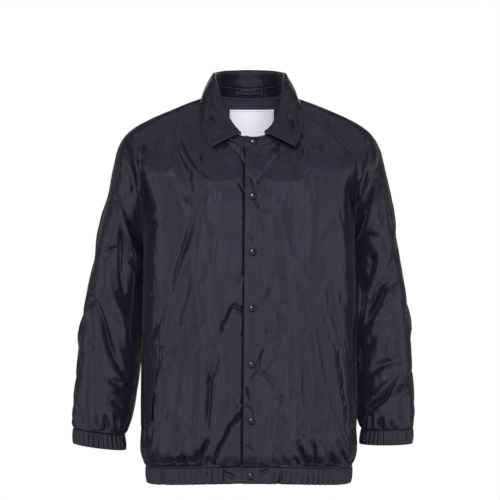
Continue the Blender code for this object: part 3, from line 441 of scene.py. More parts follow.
def backHalf(angle, z):
    return bodyHalf(backSections, 1, angle, z)


def angleAt(sections, x, z):
    # the angle of a half section at which x lies
    s = readAt(sections, "z", z)
    share = np.clip(np.abs(x) / s["halfWidth"], 0, 1)
    return np.sign(x) * np.arcsin(share ** (s["squareness"] / 2))


def closingX(z):
    # the line of snaps
    t = np.clip((z - closing["snapTop"]) / (garment["hemBottom"] - closing["snapTop"]), 0, 1)
    return closing["topX"] + (closing["bottomX"] - closing["topX"]) * t


def neckAt(turn):
    # the neck seam, whose front is moved over to the line of snaps
    t = np.abs(turn)
    s = readAt(neckSeam, "turn", t)
    forward = np.maximum(0, -np.cos(np.radians(t))) ** 2
    return points(np.sign(turn) * s["x"] + closing["topX"] * forward, s["y"], s["z"])


def neckOf(side, turn):
    # the neck seam on one side, mirrored to +X
    return mirrored(side, neckAt(side * np.asarray(turn, float)))


faces = {
    "front": (frontSections, frontHalf, frontRaglanTurn),
    "back": (backSections, backHalf, backRaglanTurn),
}


def raglanAt(side, face, row):
    # the raglan seam, mirrored to +X: on the body at the shoulder table's rows, with cubics between them
    sections, half, start = faces[face]
    x, z = shoulder[face + "X"], shoulder[face + "Z"]
    onBody = half(angleAt(sections, x, z), z)
    row = np.asarray(row, float)
    seam = spline(shoulder["row"], onBody, row)
    fade = np.clip(1 - row / 2.5, 0, 1) ** 2
    return seam + fade[..., None] * (neckOf(side, start) - onBody[0])


def hung(grid):
    # the body's lower part hangs a little lower at its sides
    low = ease((garment["sideDropFrom"] - grid[..., 2]) / (garment["sideDropFrom"] - garment["hemSeam"]))
    grid = grid.copy()
    grid[..., 2] -= garment["sideDrop"] * low * (grid[..., 0] / 0.2) ** 2
    return grid


mesh = {
    "frontColumns": 150,
    "backColumns": 148,
    "sleeveColumns": 150,
    "rowsBelow": 150,
    "rowsAbove": 95,
    "rowsArm": 140,
    "crowd": 0.35,  # columns lie closer together beside the seams
}


def heightsOfRows():
    # heights of the rows below the armpit, closer together at the hem
    t = np.linspace(0, 1, mesh["rowsBelow"] + 1) ** 1.25
    low = garment["hemSeam"] + garment["seamGap"]
    return low + (garment["armpit"] - low) * t


def panelRows(side, face, edgeX):
    # half a panel, mirrored to +X, hem first: below the armpit the body's section from inner edge to side,
    # above it rows up to the raglan seam, which take on the neck seam's form by k^2 and k^3
    sections, half, start = faces[face]
    s = np.linspace(0, 1, garment["fine"] + 1)
    middleTurn = 180 if face == "front" else 0
    search = np.linspace(middleTurn - 20, middleTurn + 20, 401)
    middleZ = neckAt(middleTurn)[2]
    foundX = neckOf(side, search)[:, 0]
    order = np.argsort(foundX)
    firstTurn = np.interp(edgeX(neckOf(side, middleTurn)[2]), foundX[order], search[order])
    top = neckOf(side, firstTurn + (start - firstTurn) * s)
    topAngle = angleAt(sections, top[:, 0], top[:, 2])
    rows = []
    for z in heightsOfRows():
        inner = angleAt(sections, edgeX(z), z)
        rows.append(half(inner + (math.pi / 2 - inner) * s, z))
    for row in np.linspace(armpitRow, 0, mesh["rowsAbove"] + 1)[1:]:
        k = 1 - row / armpitRow
        seam = raglanAt(side, face, row)
        innerZ = garment["armpit"] + (middleZ - garment["armpit"]) * k + (top[0, 2] - middleZ) * k**4
        inner = angleAt(sections, edgeX(innerZ), innerZ)
        outer = angleAt(sections, seam[0], seam[2])
        straightZ = top[0, 2] + (top[-1, 2] - top[0, 2]) * s
        straightAngle = topAngle[0] + (topAngle[-1] - topAngle[0]) * s
        z = innerZ + (seam[2] - innerZ) * s + k**2 * (top[:, 2] - straightZ)
        angle = inner + (outer - inner) * s + k**2 * (topAngle - straightAngle)
        found = half(angle, z)
        found += k**3 * (top - half(topAngle, top[:, 2]))
        found += (s**5)[:, None] * (seam - found[-1])
        rows.append(found)
    return rows


def cubic(p0, p1, p2, p3, s):
    s = s[:, None]
    return p0 * (1 - s) ** 3 + 3 * p1 * s * (1 - s) ** 2 + 3 * p2 * s**2 * (1 - s) + p3 * s**3


def swung(side, grid):
    # the arm turned out about the shoulder, more and more over swingReach below it
    share = ease((arms["swingZ"] - grid[..., 2]) / arms["swingReach"])
    turn = math.radians(arms["swing"][side]) * share
    dx, dz = grid[..., 0] - arms["swingX"], grid[..., 2] - arms["swingZ"]
    x = arms["swingX"] + dx * np.cos(turn) - dz * np.sin(turn)
    z = arms["swingZ"] + dx * np.sin(turn) + dz * np.cos(turn)
    low = ease((-0.35 - z) / 0.28)
    z = z - low * (arms["cuffDrop"][side] + arms["cuffTilt"][side] * (0.3 - grid[..., 0]))
    return points(x, grid[..., 1], z)


def clearOfBody(grid, clearance):
    # points inside the body's section, grown by the clearance, move straight out of it
    z = np.clip(grid[..., 2], garment["hemBottom"], garment["armpit"])
    front, back = readAt(frontSections, "z", z), readAt(backSections, "z", z)
    ahead = grid[..., 1] < 0
    power = np.where(ahead, front["squareness"], back["squareness"])
    width = front["halfWidth"] + clearance
    depth = np.where(ahead, front["depth"], back["depth"]) + clearance
    size = (np.abs(grid[..., 0]) / width) ** power + (np.abs(grid[..., 1]) / depth) ** power
    size = np.minimum(size ** (1 / power), 1)[..., None]
    return np.where(size < 1, grid * np.array([1, 1, 0]) / size + grid * np.array([0, 0, 1]), grid)


def shoulderCurve(side, row):
    # two cubics from the front raglan seam over the shoulder ridge to the back raglan seam, mirrored to +X
    s = np.linspace(0, 1, garment["fine"] + 1)
    v = readAt(shoulder, "row", row)
    ridge = np.array([v["ridgeX"], 0.0, v["ridgeZ"]])
    halves = []
    for face, sign in (("front", -1), ("back", 1)):
        sections, half, _ = faces[face]
        seam = raglanAt(side, face, row)
        angle = angleAt(sections, seam[0], seam[2])
        across = half(angle + 0.01, seam[2]) - half(angle - 0.01, seam[2])
        up = half(angle, seam[2] + 0.001) - half(angle, seam[2] - 0.001)
        out = unit(np.cross(across, up))
        chord = ridge - seam
        flat = unit(chord - out * (chord @ out))
        away = unit(flat * (1 - v["turn"]) + np.array([0, sign, 0]) * v["turn"])
        pulled = ridge + np.array([0, sign, 0]) * v["ridgePull"]
        halves.append(cubic(seam, seam + away * v["seamPull"], pulled, ridge, s))
    whole = np.concatenate([halves[0], halves[1][::-1][1:]])
    return evenRows([whole], 2 * garment["fine"])[0]


def shoulderRows(side, rows):
    # rows over the shoulder, which near the neck take on the form of the neck seam
    turns = np.linspace(frontRaglanTurn, backRaglanTurn, 2 * garment["fine"] + 1)
    neckLine = evenRows([neckOf(side, turns)], 2 * garment["fine"])[0]
    difference = neckLine - shoulderCurve(side, 0)
    return [shoulderCurve(side, row) + np.clip(1 - row / 1.5, 0, 1) ** 2 * difference for row in rows]


def armRing(row):
    # one ring of the arm, mirrored to +X, as two cubics between its innermost and outermost points
    s = np.linspace(0, 1, garment["fine"] + 1)
    v = readAt(armRings, "row", row)
    outer = np.array([v["outerX"], v["outerY"], v["outerZ"]])
    inner = np.array([v["innerX"], v["innerY"], v["innerZ"]])
    front = np.array([0, -v["front"] * 4 / 3, 0])
    back = np.array([0, v["back"] * 4 / 3, 0])
    ahead = cubic(inner, inner + front, outer + front, outer, s)
    behind = cubic(outer, outer + back, inner + back, inner, s)
    return np.concatenate([ahead, behind[1:]])


def armRows(side, rows, columns, crowd=0.0):
    # rings of the arm, swung and clear of the body
    rings = []
    for row in rows:
        ring = swung(side, armRing(row))
        depth = ease((row - armpitRow) / 0.5)
        least = arms["armpitClearance"]
        rings.append(clearOfBody(ring, least + (arms["clearance"] - least) * depth))
    return evenRows(rings, columns, crowd)


def squareTo(along, v):
    # the part of v square to a direction, as a unit vector: v - along (v . along)
    return unit(v - along * (v * along).sum(-1, keepdims=True))


def seamMoves(along, firstIn, secondIn, cloth):
    # how far to move two edges that meet, so that their walls lie a seam's gap apart
    firstIn, secondIn = squareTo(along, firstIn), squareTo(along, secondIn)
    across = unit(secondIn - firstIn)
    halfAngle = np.arccos(np.clip((firstIn * secondIn).sum(-1), -1, 1)) / 2
    move = garment["seamGap"] / 2 + cloth / 2 * np.cos(halfAngle)
    return across * move[..., None]


def partAtRaglans(side, front, back, arm):
    # moves the edges of a front, the back and a sleeve apart along the raglan seams and the side seam
    backEdge, backNext = (0, 1) if side == left else (-1, -2)
    above, below = mesh["rowsAbove"], mesh["rowsBelow"]
    meetings = ((front, -1, -2, 0, 1), (back, backEdge, backNext, -1, -2))
    for panel, edge, inner, column, innerColumn in meetings:
        along = unit(np.gradient(panel[:, edge], axis=0))
        into = unit(panel[:, inner] - panel[:, edge])
        seamRows = slice(below + 1, None)
        intoArm = (arm[:above, innerColumn] - arm[:above, column])[::-1]
        move = seamMoves(along[seamRows], into[seamRows], intoArm, garment["cloth"])
        arm[:above, column] += move[::-1]
        panel[seamRows, edge] -= move
        panel[: below + 1, edge] += into[: below + 1] * garment["seamGap"] / 2


def lineFrom(grid, out, away, end=0):
    # the line of points this far along each row from its first or last end, with the cloth's normals there
    placed, square = [], []
    for row, normal in zip(grid, out):
        if end:
            row, normal = row[::-1], normal[::-1]
        run = runOf(row)
        placed.append(placeAt(away, run, row))
        square.append(placeAt(away, run, normal))
    return np.array(placed), unit(np.array(square))


def laidOn(grid, face, x, z, lift, reach=0.0045):
    # a plane fitted to the grid's points near each x, z, y = a + b dx + c dz, with weights
    # e^-(distance / reach)^2: points this far off it, outwards, and its normals
    flat = grid.reshape(-1, 3)
    sign = -1 if face == "front" else 1
    box = (
        (flat[:, 1] * sign > 0)
        & (flat[:, 0] > x.min() - 4 * reach)
        & (flat[:, 0] < x.max() + 4 * reach)
        & (flat[:, 2] > z.min() - 4 * reach)
        & (flat[:, 2] < z.max() + 4 * reach)
    )
    flat = flat[box]
    dx = flat[None, :, 0] - x.reshape(-1, 1)
    dz = flat[None, :, 2] - z.reshape(-1, 1)
    weight = np.exp(-(dx * dx + dz * dz) / reach**2) + 1e-9
    terms = np.stack([np.ones(dx.shape), dx, dz], axis=-1)
    matrix = np.einsum("pn,pni,pnj->pij", weight, terms, terms)
    vector = np.einsum("pn,pni,n->pi", weight, terms, flat[:, 1])
    a, b, c = np.linalg.solve(matrix, vector[..., None])[..., 0].T
    out = sign * unit(np.stack([-b, np.ones(len(a)), -c], axis=-1))
    found = points(x.ravel(), a, z.ravel()) + out * lift
    return found.reshape(*x.shape, 3), out.reshape(*x.shape, 3)


# The fronts. Breadths and places are in the picture's units, heights in millimetres.
rightFrontFolds = foldTable("""
    3 6.5 0 0.35 0.4 0.2  176,130 180,146 190,165 202,178 214,184
    15 -7.5 0 0 0.6 0.6  192,136 206,153 226,162
    5 3 0 0.2 0.3 0.3  196,176 212,182 237,178
    4 -3 0.2 0.1 0.3 0.5  173,135 177,152 183,172 184,196
    4.2/5 -9 -0.4 0.4 0.3 0.3  200,199 194,215 186,237 176,268 168,297 160,316 153,330 146,335
    6 -7 0 0.1 0.3 0.3  184,160 189,188 191,212
    4.6/6.5 -7.5 0.2 0.25 0.2 0.2  193,256 190,275 185,296 176,325 169,346
    3.6 3.2 0 0.2 0.1 0.1  186,247 180,268 171,291 160,325
    5.5 2.6 0 0.1 0.2 0.2  208,202 201,230 196,262 189,300 181,336
    2.2 3 0.3 0.4 0.1 0.3  175,343 167,361 159,377 157,390 157,420
    2/1.4 -4 0.2 0.55 1 0.1  243,310 233,306 227.5,316 221,330 216,343
    3.6 -3.2 0 0.2 0.8 0.2  244,311 234,310
    1.2/2.2 -3.4 0.2 0.55 0.1 0.4  210.5,345 216,353 216.4,369 213,376 203,386
    4 -8 0 0.3 0.2 0.4  211,340 209,388 208,412 206,440
    3.2 -2.8 0 0.2 0.2 0.2  223,392 222,412 218,433 214,452
    3 2.2 0 0.2 0.2 0.2  214,388 213,410 211,436
    3 1.8 0 0.2 0.2 0.2  232,392 230,414
    2.8/1.6 -5.5 0.3 0.4 1 0.4  244,413 232,425 225.5,437 218.5,449 214.5,465
    1.4 -1.8 0 0.4 0.9 0.1  244,400 235,411
    2.2 -3 0.2 0.45 0.4 0.7  230,143 238,152 245,163
    1.3 -2.4 0 0.6 0.1 0.8  237.5,179 240,186 245,193
    1.2 -1.8 0 0.5 0.8 0.1  242,278 234,288
    1.4 -1.8 0 0.4 0.9 0.1  244,334 237,339
    3.2/1.5 -8.5 0.2 0.35 0.5 0.4  207,442 203,450 200.5,464
    1.1 -2.8 0 0.6 0.2 0.7  211,452 206.5,466
    3 -7.5 0 0.3 0.2 0.6  195.5,447 197,467
    2.5 -6.2 0 0.3 0.2 0.6  182,451 183,467
    4.5 -3.5 0 0.1 0.5 0.5  176,460 166,462 157,461
    2 2.4 0 0.3 0.1 0.6  189,448 190,467
    2 2.6 0 0.3 0.1 0.6  216,440 211,456 209,466
    2 2.2 0 0.3 0.1 0.6  175,448 175,466
    2.4 -3 0 0.3 0.2 0.6  153,447 151,465
    8 -8 0 0 0.5 0.4  150,463 180,463 212,464
    3 -3.8 0 0.2 0.3 0.3  149,398 149,411 153,419 152,436
    1.8 2.6 0 0.4 0.1 0.2  158.5,388 157,410 155,431 149,456
    9 3 0 0 0.3 0.3  164,175 161,225 158,280
    8 -3.5 0 0 0.2 0.5  152,300 152,350 151,400 151,452
    9 -2.2 0 0 0.3 0.3  232,225 228,262 226,295
    9 2.2 0 0 0.3 0.3  218,205 213,260 206,318
    5 -2 0 0.1 0.2 0.2  196,350 193,390 190,430
    6 2.2 0 0 0.2 0.2  182,352 179,392 174,436
    4 -1.8 0 0.1 0.2 0.2  168,372 165,405 163,440
""")
leftFrontFolds = foldTable("""
    12 -7 0 0 0.6 0.6  274,148 287,157 294,166
    4.5 2.6 0 0.2 0.3 0.3  262,177 276,182 300,181
    2.6 2.8 0 0.3 0.2 0.2  277,147 271,157 265,167
    5 2.8 0 0.1 0.2 0.2  307,138 304,163 302,192
    1.4 -2.2 0 0.5 0.6 0.1  255,150 263,159
    1.8 -1.7 0 0.3 0.1 0.3  262,172 257,186
    1.3 -2.6 0 0.6 0.3 0.8  249.5,176 252,182 254.5,190
    1.4 -2.4 0 0.5 0.9 0.1  254.5,200 260,210
    1.3 -1.6 0 0.4 0.2 0.6  249.5,233 253,244
    2.2 -2.5 0 0.3 0.1 0.5  273,279 267,295 257,308
    1.8 1.4 0 0.3 0.1 0.4  249.6,265 253.6,284 252,300
    3.4/2 -2.2 0.3 0.35 0.1 0.3  281,226 283,252 284.5,283 288.6,299 292,312
    3.4 -3.4 0.2 0.2 0.1 0.2  295,272 305,293 314,316 319,332 324,357 329,383 334,406 339,425
    3.2 3 0 0.2 0.1 0.2  301,262 311,290 320,316 327,345 333,375 339,405 345,436
    3 -3.4 0.2 0.3 0.1 0.5  329,272 332,309 337,323 340.5,346
    3.2 -2.6 0 0.2 0.2 0.2  288,311 284,332 281,345 279.5,367
    1.1/1.4 -3.2 0 0.6 0.1 0.5  267.5,340 260,357.5 256.5,369 250.5,381
    1.3 -1.8 0 0.5 0.2 0.3  265.7,324 266.7,338
    1.5 1.8 0 0.4 0.1 0.5  274,357 262,371.5
    2.2 -2.6 0 0.3 0.6 0.2  259,371 270,379 277,390
    2.6 -2.8 0 0.2 0.3 0.3  277.5,396 286,402
    1.3 -2.3 0 0.5 0.8 0.2  246.5,387 250.5,403
    1.4 -3 0 0.6 0.7 0.8  246.5,405 251,409 253.5,416
    4.8 -5.5 0 0.15 0.2 0.4  303,338 304.7,366 305.5,400 304,432
    4.8 -2.6 0 0.1 0.2 0.3  294,322 296,362 293,402
    3 2 0 0.1 0.2 0.3  299.5,340 300,402
    5.5 -3 0 0.2 0.4 0.4  276,418 284,427 273,437
    1.5 2.2 0 0.5 0.2 0.3  279.5,440 286,459
    1.6 1.8 0 0.4 0.3 0.2  258,424 266,442
    1.4 -2.2 0 0.5 0.8 0.3  246,447 250,447.5 254,453
    7 -6 0 0 0.3 0.5  288,464 320,463 350,462
    3.2/2.2 -8 -0.2 0.35 0.5 0.5  299,442 303.5,455 309.5,467
    1.6/2.4 -4.8 0 0.3 0.1 0.6  312.5,430 315,448 317,467
    3/6 -6 0 0.15 0.3 0.7  331,446 334,458 335,468
    2.4 -4.8 0 0.35 0.1 0.6  337,431 344,452 354,465
    1.2 -3 0 0.6 0.2 0.7  293,456 300.5,467
    1.9 2.6 0 0.3 0.1 0.5  306.5,434 311.5,452 314,466
    3.2 3.6 0 0.2 0.1 0.6  321,436 323.5,467
    1.5 2.8 0 0.5 0.1 0.4  326,386 330,405 337,424 343,442 346,463
    2 2 0 0.2 0.1 0.5  288,446 290,466
    2.2 -2.2 0 0.2 0.1 0.2  315,405 316,428
    2.4 -2.4 0 0.2 0.1 0.2  321,396 326,424
    9 2 0 0 0.3 0.3  270,198 268,255
    9 2.4 0 0 0.3 0.3  313,195 313,262
    8 -2 0 0 0.3 0.3  292,195 296,245
    6 2.2 0 0 0.3 0.3  340,188 344,240 347,300
    2.8 -2.6 0 0.1 0.3 0.3  349,188 352,218
    5 1.8 0 0 0.2 0.2  275,300 273,340
""")
# The lower gathers of a front, which run up from the hem seam.
gathers = {
    "waves": 34,
    "height": 0.0042,
    "reach": 0.060,
    "fineWaves": 130,
    "fineHeight": 0.0015,
    "fineReach": 0.022,
}
pocket = {
    "topX": 0.1665,
    "topZ": -0.470,
    "bottomX": 0.187,
    "bottomZ": -0.617,
    "width": 0.010,
    "lift": 0.0010,
    "slitDepth": 0.0030,
    "past": 0.004,  # how far it fades past its ends, and over what length
    "fade": 0.010,
    "slitAt": 0.0015,
    "slitWidth": 0.0034,
    "swell": 0.0022,
    "swellAt": 0.012,
    "swellWidth": 0.006,
    "crumple": 0.0020,  # at the slit's ends
    "crumpleLength": 0.012,
    "crumpleWidth": 0.014,
    "crumplePitch": 0.0018,
}


def pleats(turns):
    # rounded ridges and narrow valleys, once a turn: 2 |cos(pi t)|^0.6 - 1.2
    return 2 * np.abs(np.cos(math.pi * turns)) ** 0.6 - 1.2


def pleated(shape, run, size, wander, fineSize, fineWander):
    # coarse and fine pleats round a piece: height * size * pleats(waves * run + wander)
    coarse = shape["height"] * size * pleats(shape["waves"] * run + wander)
    return coarse, shape["fineHeight"] * fineSize * pleats(shape["fineWaves"] * run + fineWander)


def gatherField(seed, run, above, strength):
    # waves round the body that start beside the hem seam and fade upwards, coarse ones and fine ones
    wander = 0.35 * noiseAt(seed, run * 9, run * 0)
    size = 0.65 + 0.5 * noiseAt(seed + 1, run * 14, above / 0.05)
    reach = gathers["reach"] * (0.75 + 0.6 * noiseAt(seed + 2, run * 24, run * 0))
    fineWander = 0.8 * noiseAt(seed + 3, run * 40, run * 0)
    fineSize = 0.6 + 0.6 * noiseAt(seed + 4, run * 60, above / 0.02)
    coarse, fine = pleated(gathers, run, size, wander, fineSize, fineWander)
    coarse = coarse * ease(above / 0.012) * ease(1 - above / np.maximum(reach, 0.02))
    fine = fine * ease(above / 0.003) * ease(1 - above / gathers["fineReach"])
    return strength * (coarse + fine)


def pocketWander(along):
    # how far the slit's line strays from straight, two sines along it
    return 0.0011 * np.sin(along / 0.0085 + 1) + 0.0006 * np.sin(along / 0.0034)


def slitField(side, grid):
    # the pocket's slit: a narrow trough beside the welt, puckered at its ends
    x, z = side * grid[..., 0], grid[..., 2]
    dx, dz = pocket["bottomX"] - pocket["topX"], pocket["bottomZ"] - pocket["topZ"]
    length = math.hypot(dx, dz)
    along = ((x - pocket["topX"]) * dx + (z - pocket["topZ"]) * dz) / length
    away = ((x - pocket["topX"]) * dz - (z - pocket["topZ"]) * dx) / length
    past, fade = pocket["past"], pocket["fade"]
    inside = ease((along + past) / fade) * ease((length + past - along) / fade) * (grid[..., 1] < 0)
    away = away + pocketWander(along)
    trough = -pocket["slitDepth"] * bell((away - pocket["slitAt"]) / pocket["slitWidth"]) * inside
    swell = pocket["swell"] * bell((away - pocket["swellAt"]) / pocket["swellWidth"]) * inside
    ends = bell(along / pocket["crumpleLength"]) + bell((along - length) / pocket["crumpleLength"])
    crumpled = pocket["crumple"] * ends * np.cos(away / pocket["crumplePitch"])
    return trough + swell + crumpled * bell(away / pocket["crumpleWidth"]) * (grid[..., 1] < 0)


lapShape = {
    "standing": 0.0018,  # how far the upper lap's edge stands up between two snaps
    "standingWidth": 0.007,
    "calmFrom": -0.024,  # the folds grow from here past the snaps
    "calmOver": 0.030,
    "underFrom": 0.018,  # and from here on the lower lap
    "underOver": 0.012,
    "tucked": 0.0012,
    "tuckedTo": 0.028,
    "tuckedOver": 0.006,
    "groove": 0.0042,  # beside the upper lap's edge
    "grooveAt": 0.0305,
    "grooveWidth": 0.0042,
    "stitchDent": 0.0007,
    "stitchWidth": 0.0016,
    "snapDent": 0.0009,
    "snapReach": 0.0105,
}


def frontPanel(side):
    # one front, hem first and closing edge first: large folds, then small ones on the folded cloth
    def edgeX(z):
        return side * closingX(z) - closing["edgeFromSnaps"]

    shape = lapShape
    local = evenRows(panelRows(side, "front", edgeX), mesh["frontColumns"], mesh["crowd"])
    fromEdge = local[..., 0] - side * closingX(local[..., 2]) + closing["edgeFromSnaps"]
    pastSnaps = fromEdge - 2 * closing["edgeFromSnaps"]
    lap = closing["layers"] / 2 * ease(1 - pastSnaps / closing["lapRamp"]) * (1 if side == left else -1)
    z = local[..., 2]
    if side == left:
        fromTopSnap = 2 * math.pi * (z - closing["snapTop"]) / closing["snapPitch"]
        standing = 0.55 + 0.45 * np.cos(fromTopSnap + math.pi)
        lap = lap + shape["standing"] * standing * bell(fromEdge / shape["standingWidth"])
    local = local + normalsOf(local) * lap[..., None]
    grid = mirrored(side, local)
    out = mirrored(side, normalsOf(local))
    across, up = acrossAndUp(grid)
    fromSide = across[:, -1:] - across
    fromTop = up[-1:] - up
    fade = ease(fromSide / fadeOver["side"]) * ease(fromTop / fadeOver["top"]) * ease(up / fadeOver["hem"])
    over = ease((pastSnaps - shape["calmFrom"]) / shape["calmOver"])
    calm = over if side == left else ease((fromEdge - 0.002) / 0.02)
    under = ease((fromEdge - shape["underFrom"]) / shape["underOver"]) if side == right else 1
    run = across / garment["girth"] if side == left else 1 - across / garment["girth"]
    folds = rightFrontFolds if side == right else leftFrontFolds
    high = foldsSeen({"front": folds, "leftSide" if side == left else "rightSide": sideFolds}, grid, out)
    high += drapes(11 + side, across, up, width=0.060, length=0.210, height=0.0022) * calm
    if side == right:
        high = high * under - shape["tucked"] * ease((shape["tuckedTo"] - fromEdge) / shape["tuckedOver"])
    grid = grid + out * (high * fade)[..., None]
    out = mirrored(side, normalsOf(mirrored(side, grid)))
    area = (148, 130, 244, 455) if side == right else (256, 130, 352, 455)
    small = smallFolds(30 + side, 95, area, (0.3, 1.1), spread=24, lengths=(8, 26))
    low = foldsSeen({"front": small}, grid, out)
    low += drapes(21 + side, across, up, width=0.017, length=0.070, height=0.0007, ridged=0.6) * calm
    low += gatherField(40 + side, run, up, 1.0) * calm * (0.55 if side == left else 0.7)
    low += slitField(side, grid)
    low *= fade * under
    low += seamed(50 + side, 52 + side, across, up, fromSide, fromTop)
    stitchAway = np.abs(fromEdge - closing["stitchFromEdge"])
    if side == left:
        low -= shape["stitchDent"] * bell(stitchAway / shape["stitchWidth"])
        low += puckers(54, up, stitchAway, pitch=0.013, height=0.0005, reach=0.018)
        low += puckers(55, up, fromEdge, pitch=0.012, height=0.0004, reach=0.010)
        for k in range(1, closing["snapCount"] - 1):
            snapZ = closing["snapTop"] - k * closing["snapPitch"]
            fromSnap = np.hypot(grid[..., 0] - closingX(snapZ), grid[..., 2] - snapZ)
            low -= shape["snapDent"] * bell(fromSnap / shape["snapReach"])
    else:
        low -= shape["groove"] * bell((fromEdge - shape["grooveAt"]) / shape["grooveWidth"])
    low *= ease(up / fadeOver["end"])
    return hung(grid + out * low[..., None])


backFolds = foldTable("""
    7 5 0.2 0.1 0.2 0.1  338,189 318,230 302,271
    7 5 -0.2 0.1 0.2 0.1  165,184 180,225 193,276
    6 -4 0 0.1 0.2 0.1  304,178 290,205 281,235
    6 -4 0 0.1 0.2 0.1  198,173 208,205 214,240
    5 -5.5 0.3 0.3 0.1 0.2  307,256 318,320 330,400
    5 -5.5 -0.2 0.3 0.1 0.2  198,266 185,330 173,416
    7 4.5 0 0.1 0.1 0.1  271,246 275,320 278,390
    5 -4.5 0.2 0.2 0.1 0.3  227,282 232,350 234,431
    4.5 -4.5 0 0.2 0.1 0.3  294,349 292,400 291,442
    5 4.2 0 0.1 0.1 0.3  206,359 204,400 203,442
    3 -3.6 0.2 0.4 0.5 0.1  352,214 330,221 303,239
    3 -3.6 -0.2 0.4 0.5 0.1  148,216 170,224 199,243
    3 3 0 0.2 0.4 0.1  351,229 327,243 306,265
    3 3 0 0.2 0.4 0.1  149,232 172,244 190,262
    3 -3 0 0.3 0.4 0.1  350,246 333,262 322,290
    3 -2.8 0 0.3 0.4 0.1  150,252 166,270 173,300
    3.4 -3.2 0.2 0.3 0.1 0.2  252,210 250,262 255,322
    3.4 2.6 0 0.2 0.1 0.2  243,228 240,290 246,350
    3.2 -3.2 0 0.3 0.1 0.3  266,352 262,400 264,448
    3 3 0 0.2 0.1 0.3  250,370 249,420 251,458
    3.6 -3.6 0 0.2 0.1 0.3  318,372 314,420 316,458
    3 2.8 0 0.2 0.1 0.3  304,378 303,430 305,460
    3.4 -3.4 0 0.2 0.1 0.3  218,390 220,430 218,460
    3.2 -3.2 0 0.2 0.1 0.3  187,388 188,430 185,460
    2.6 2.6 0 0.3 0.1 0.3  178,396 177,432 176,460
    3 -3 0 0.3 0.2 0.3  340,300 342,350 339,410
    3 -3 0 0.3 0.2 0.3  160,310 158,360 161,415
""")
sideFolds = foldTable("""
    4 -3.2 0 0.2 0.3 0.2  262,245 256,290 250,335
    4 2.8 0 0.2 0.3 0.2  248,250 243,300 236,350
    4 -3.2 0 0.2 0.2 0.3  232,300 226,350 224,410
    3.6 2.8 0 0.2 0.2 0.3  262,330 266,390 264,440
    3.4 -3.4 0 0.3 0.2 0.5  246,400 244,440 245,462
    3 -3 0 0.3 0.2 0.5  272,410 274,440 273,462
    3 -3 0 0.3 0.2 0.5  224,424 226,446 225,462
""")


# around the label the folds are lower, by this share
labelCalm = {"share": 0.8, "halfWidth": 0.075, "z": -0.02, "halfHeight": 0.085, "edge": 0.6}


def backPanel():
    # the back, hem first, from the wearer's left to the right
    halves = {}
    for side in (left, right):
        rows = panelRows(side, "back", lambda z: 0.0 * z)
        halves[side] = mirrored(side, evenRows(rows, mesh["backColumns"] // 2))
    grid = np.concatenate([halves[left][:, ::-1], halves[right][:, 1:]], axis=1)
    out = normalsOf(grid)
    across, up = acrossAndUp(grid)
    fromSide = np.minimum(across, across[:, -1:] - across)
    fromTop = up[-1:] - up
    fade = ease(fromSide / fadeOver["side"]) * ease((fromTop - 0.004) / fadeOver["top"])
    fade = fade * ease(up / fadeOver["hem"])
    calm = labelCalm
    off = np.hypot(grid[..., 0] / calm["halfWidth"], (grid[..., 2] - calm["z"]) / calm["halfHeight"])
    plain = 1 - calm["share"] * ease(1 - (off - calm["edge"]) / calm["edge"])
    high = foldsSeen({"back": backFolds, "leftSide": sideFolds, "rightSide": sideFolds}, grid, out)
    high += drapes(14, across, up, width=0.060, length=0.220, height=0.0022) * plain
    grid = grid + out * (high * fade)[..., None]
    out = normalsOf(grid)
    small = smallFolds(34, 190, (148, 120, 352, 455), (0.3, 1.1), lengths=(8, 28))
    low = foldsSeen({"back": small}, grid, out) * plain
    low += drapes(24, across, up, width=0.017, length=0.070, height=0.0007, ridged=0.6) * plain
    low += gatherField(44, 0.25 + 0.5 * across / across[:, -1:], up, 1.0)
    low *= fade
    low += seamed(56, 57, across, up, fromSide, fromTop)
    low *= ease(up / fadeOver["end"])
    return hung(grid + out * low[..., None])


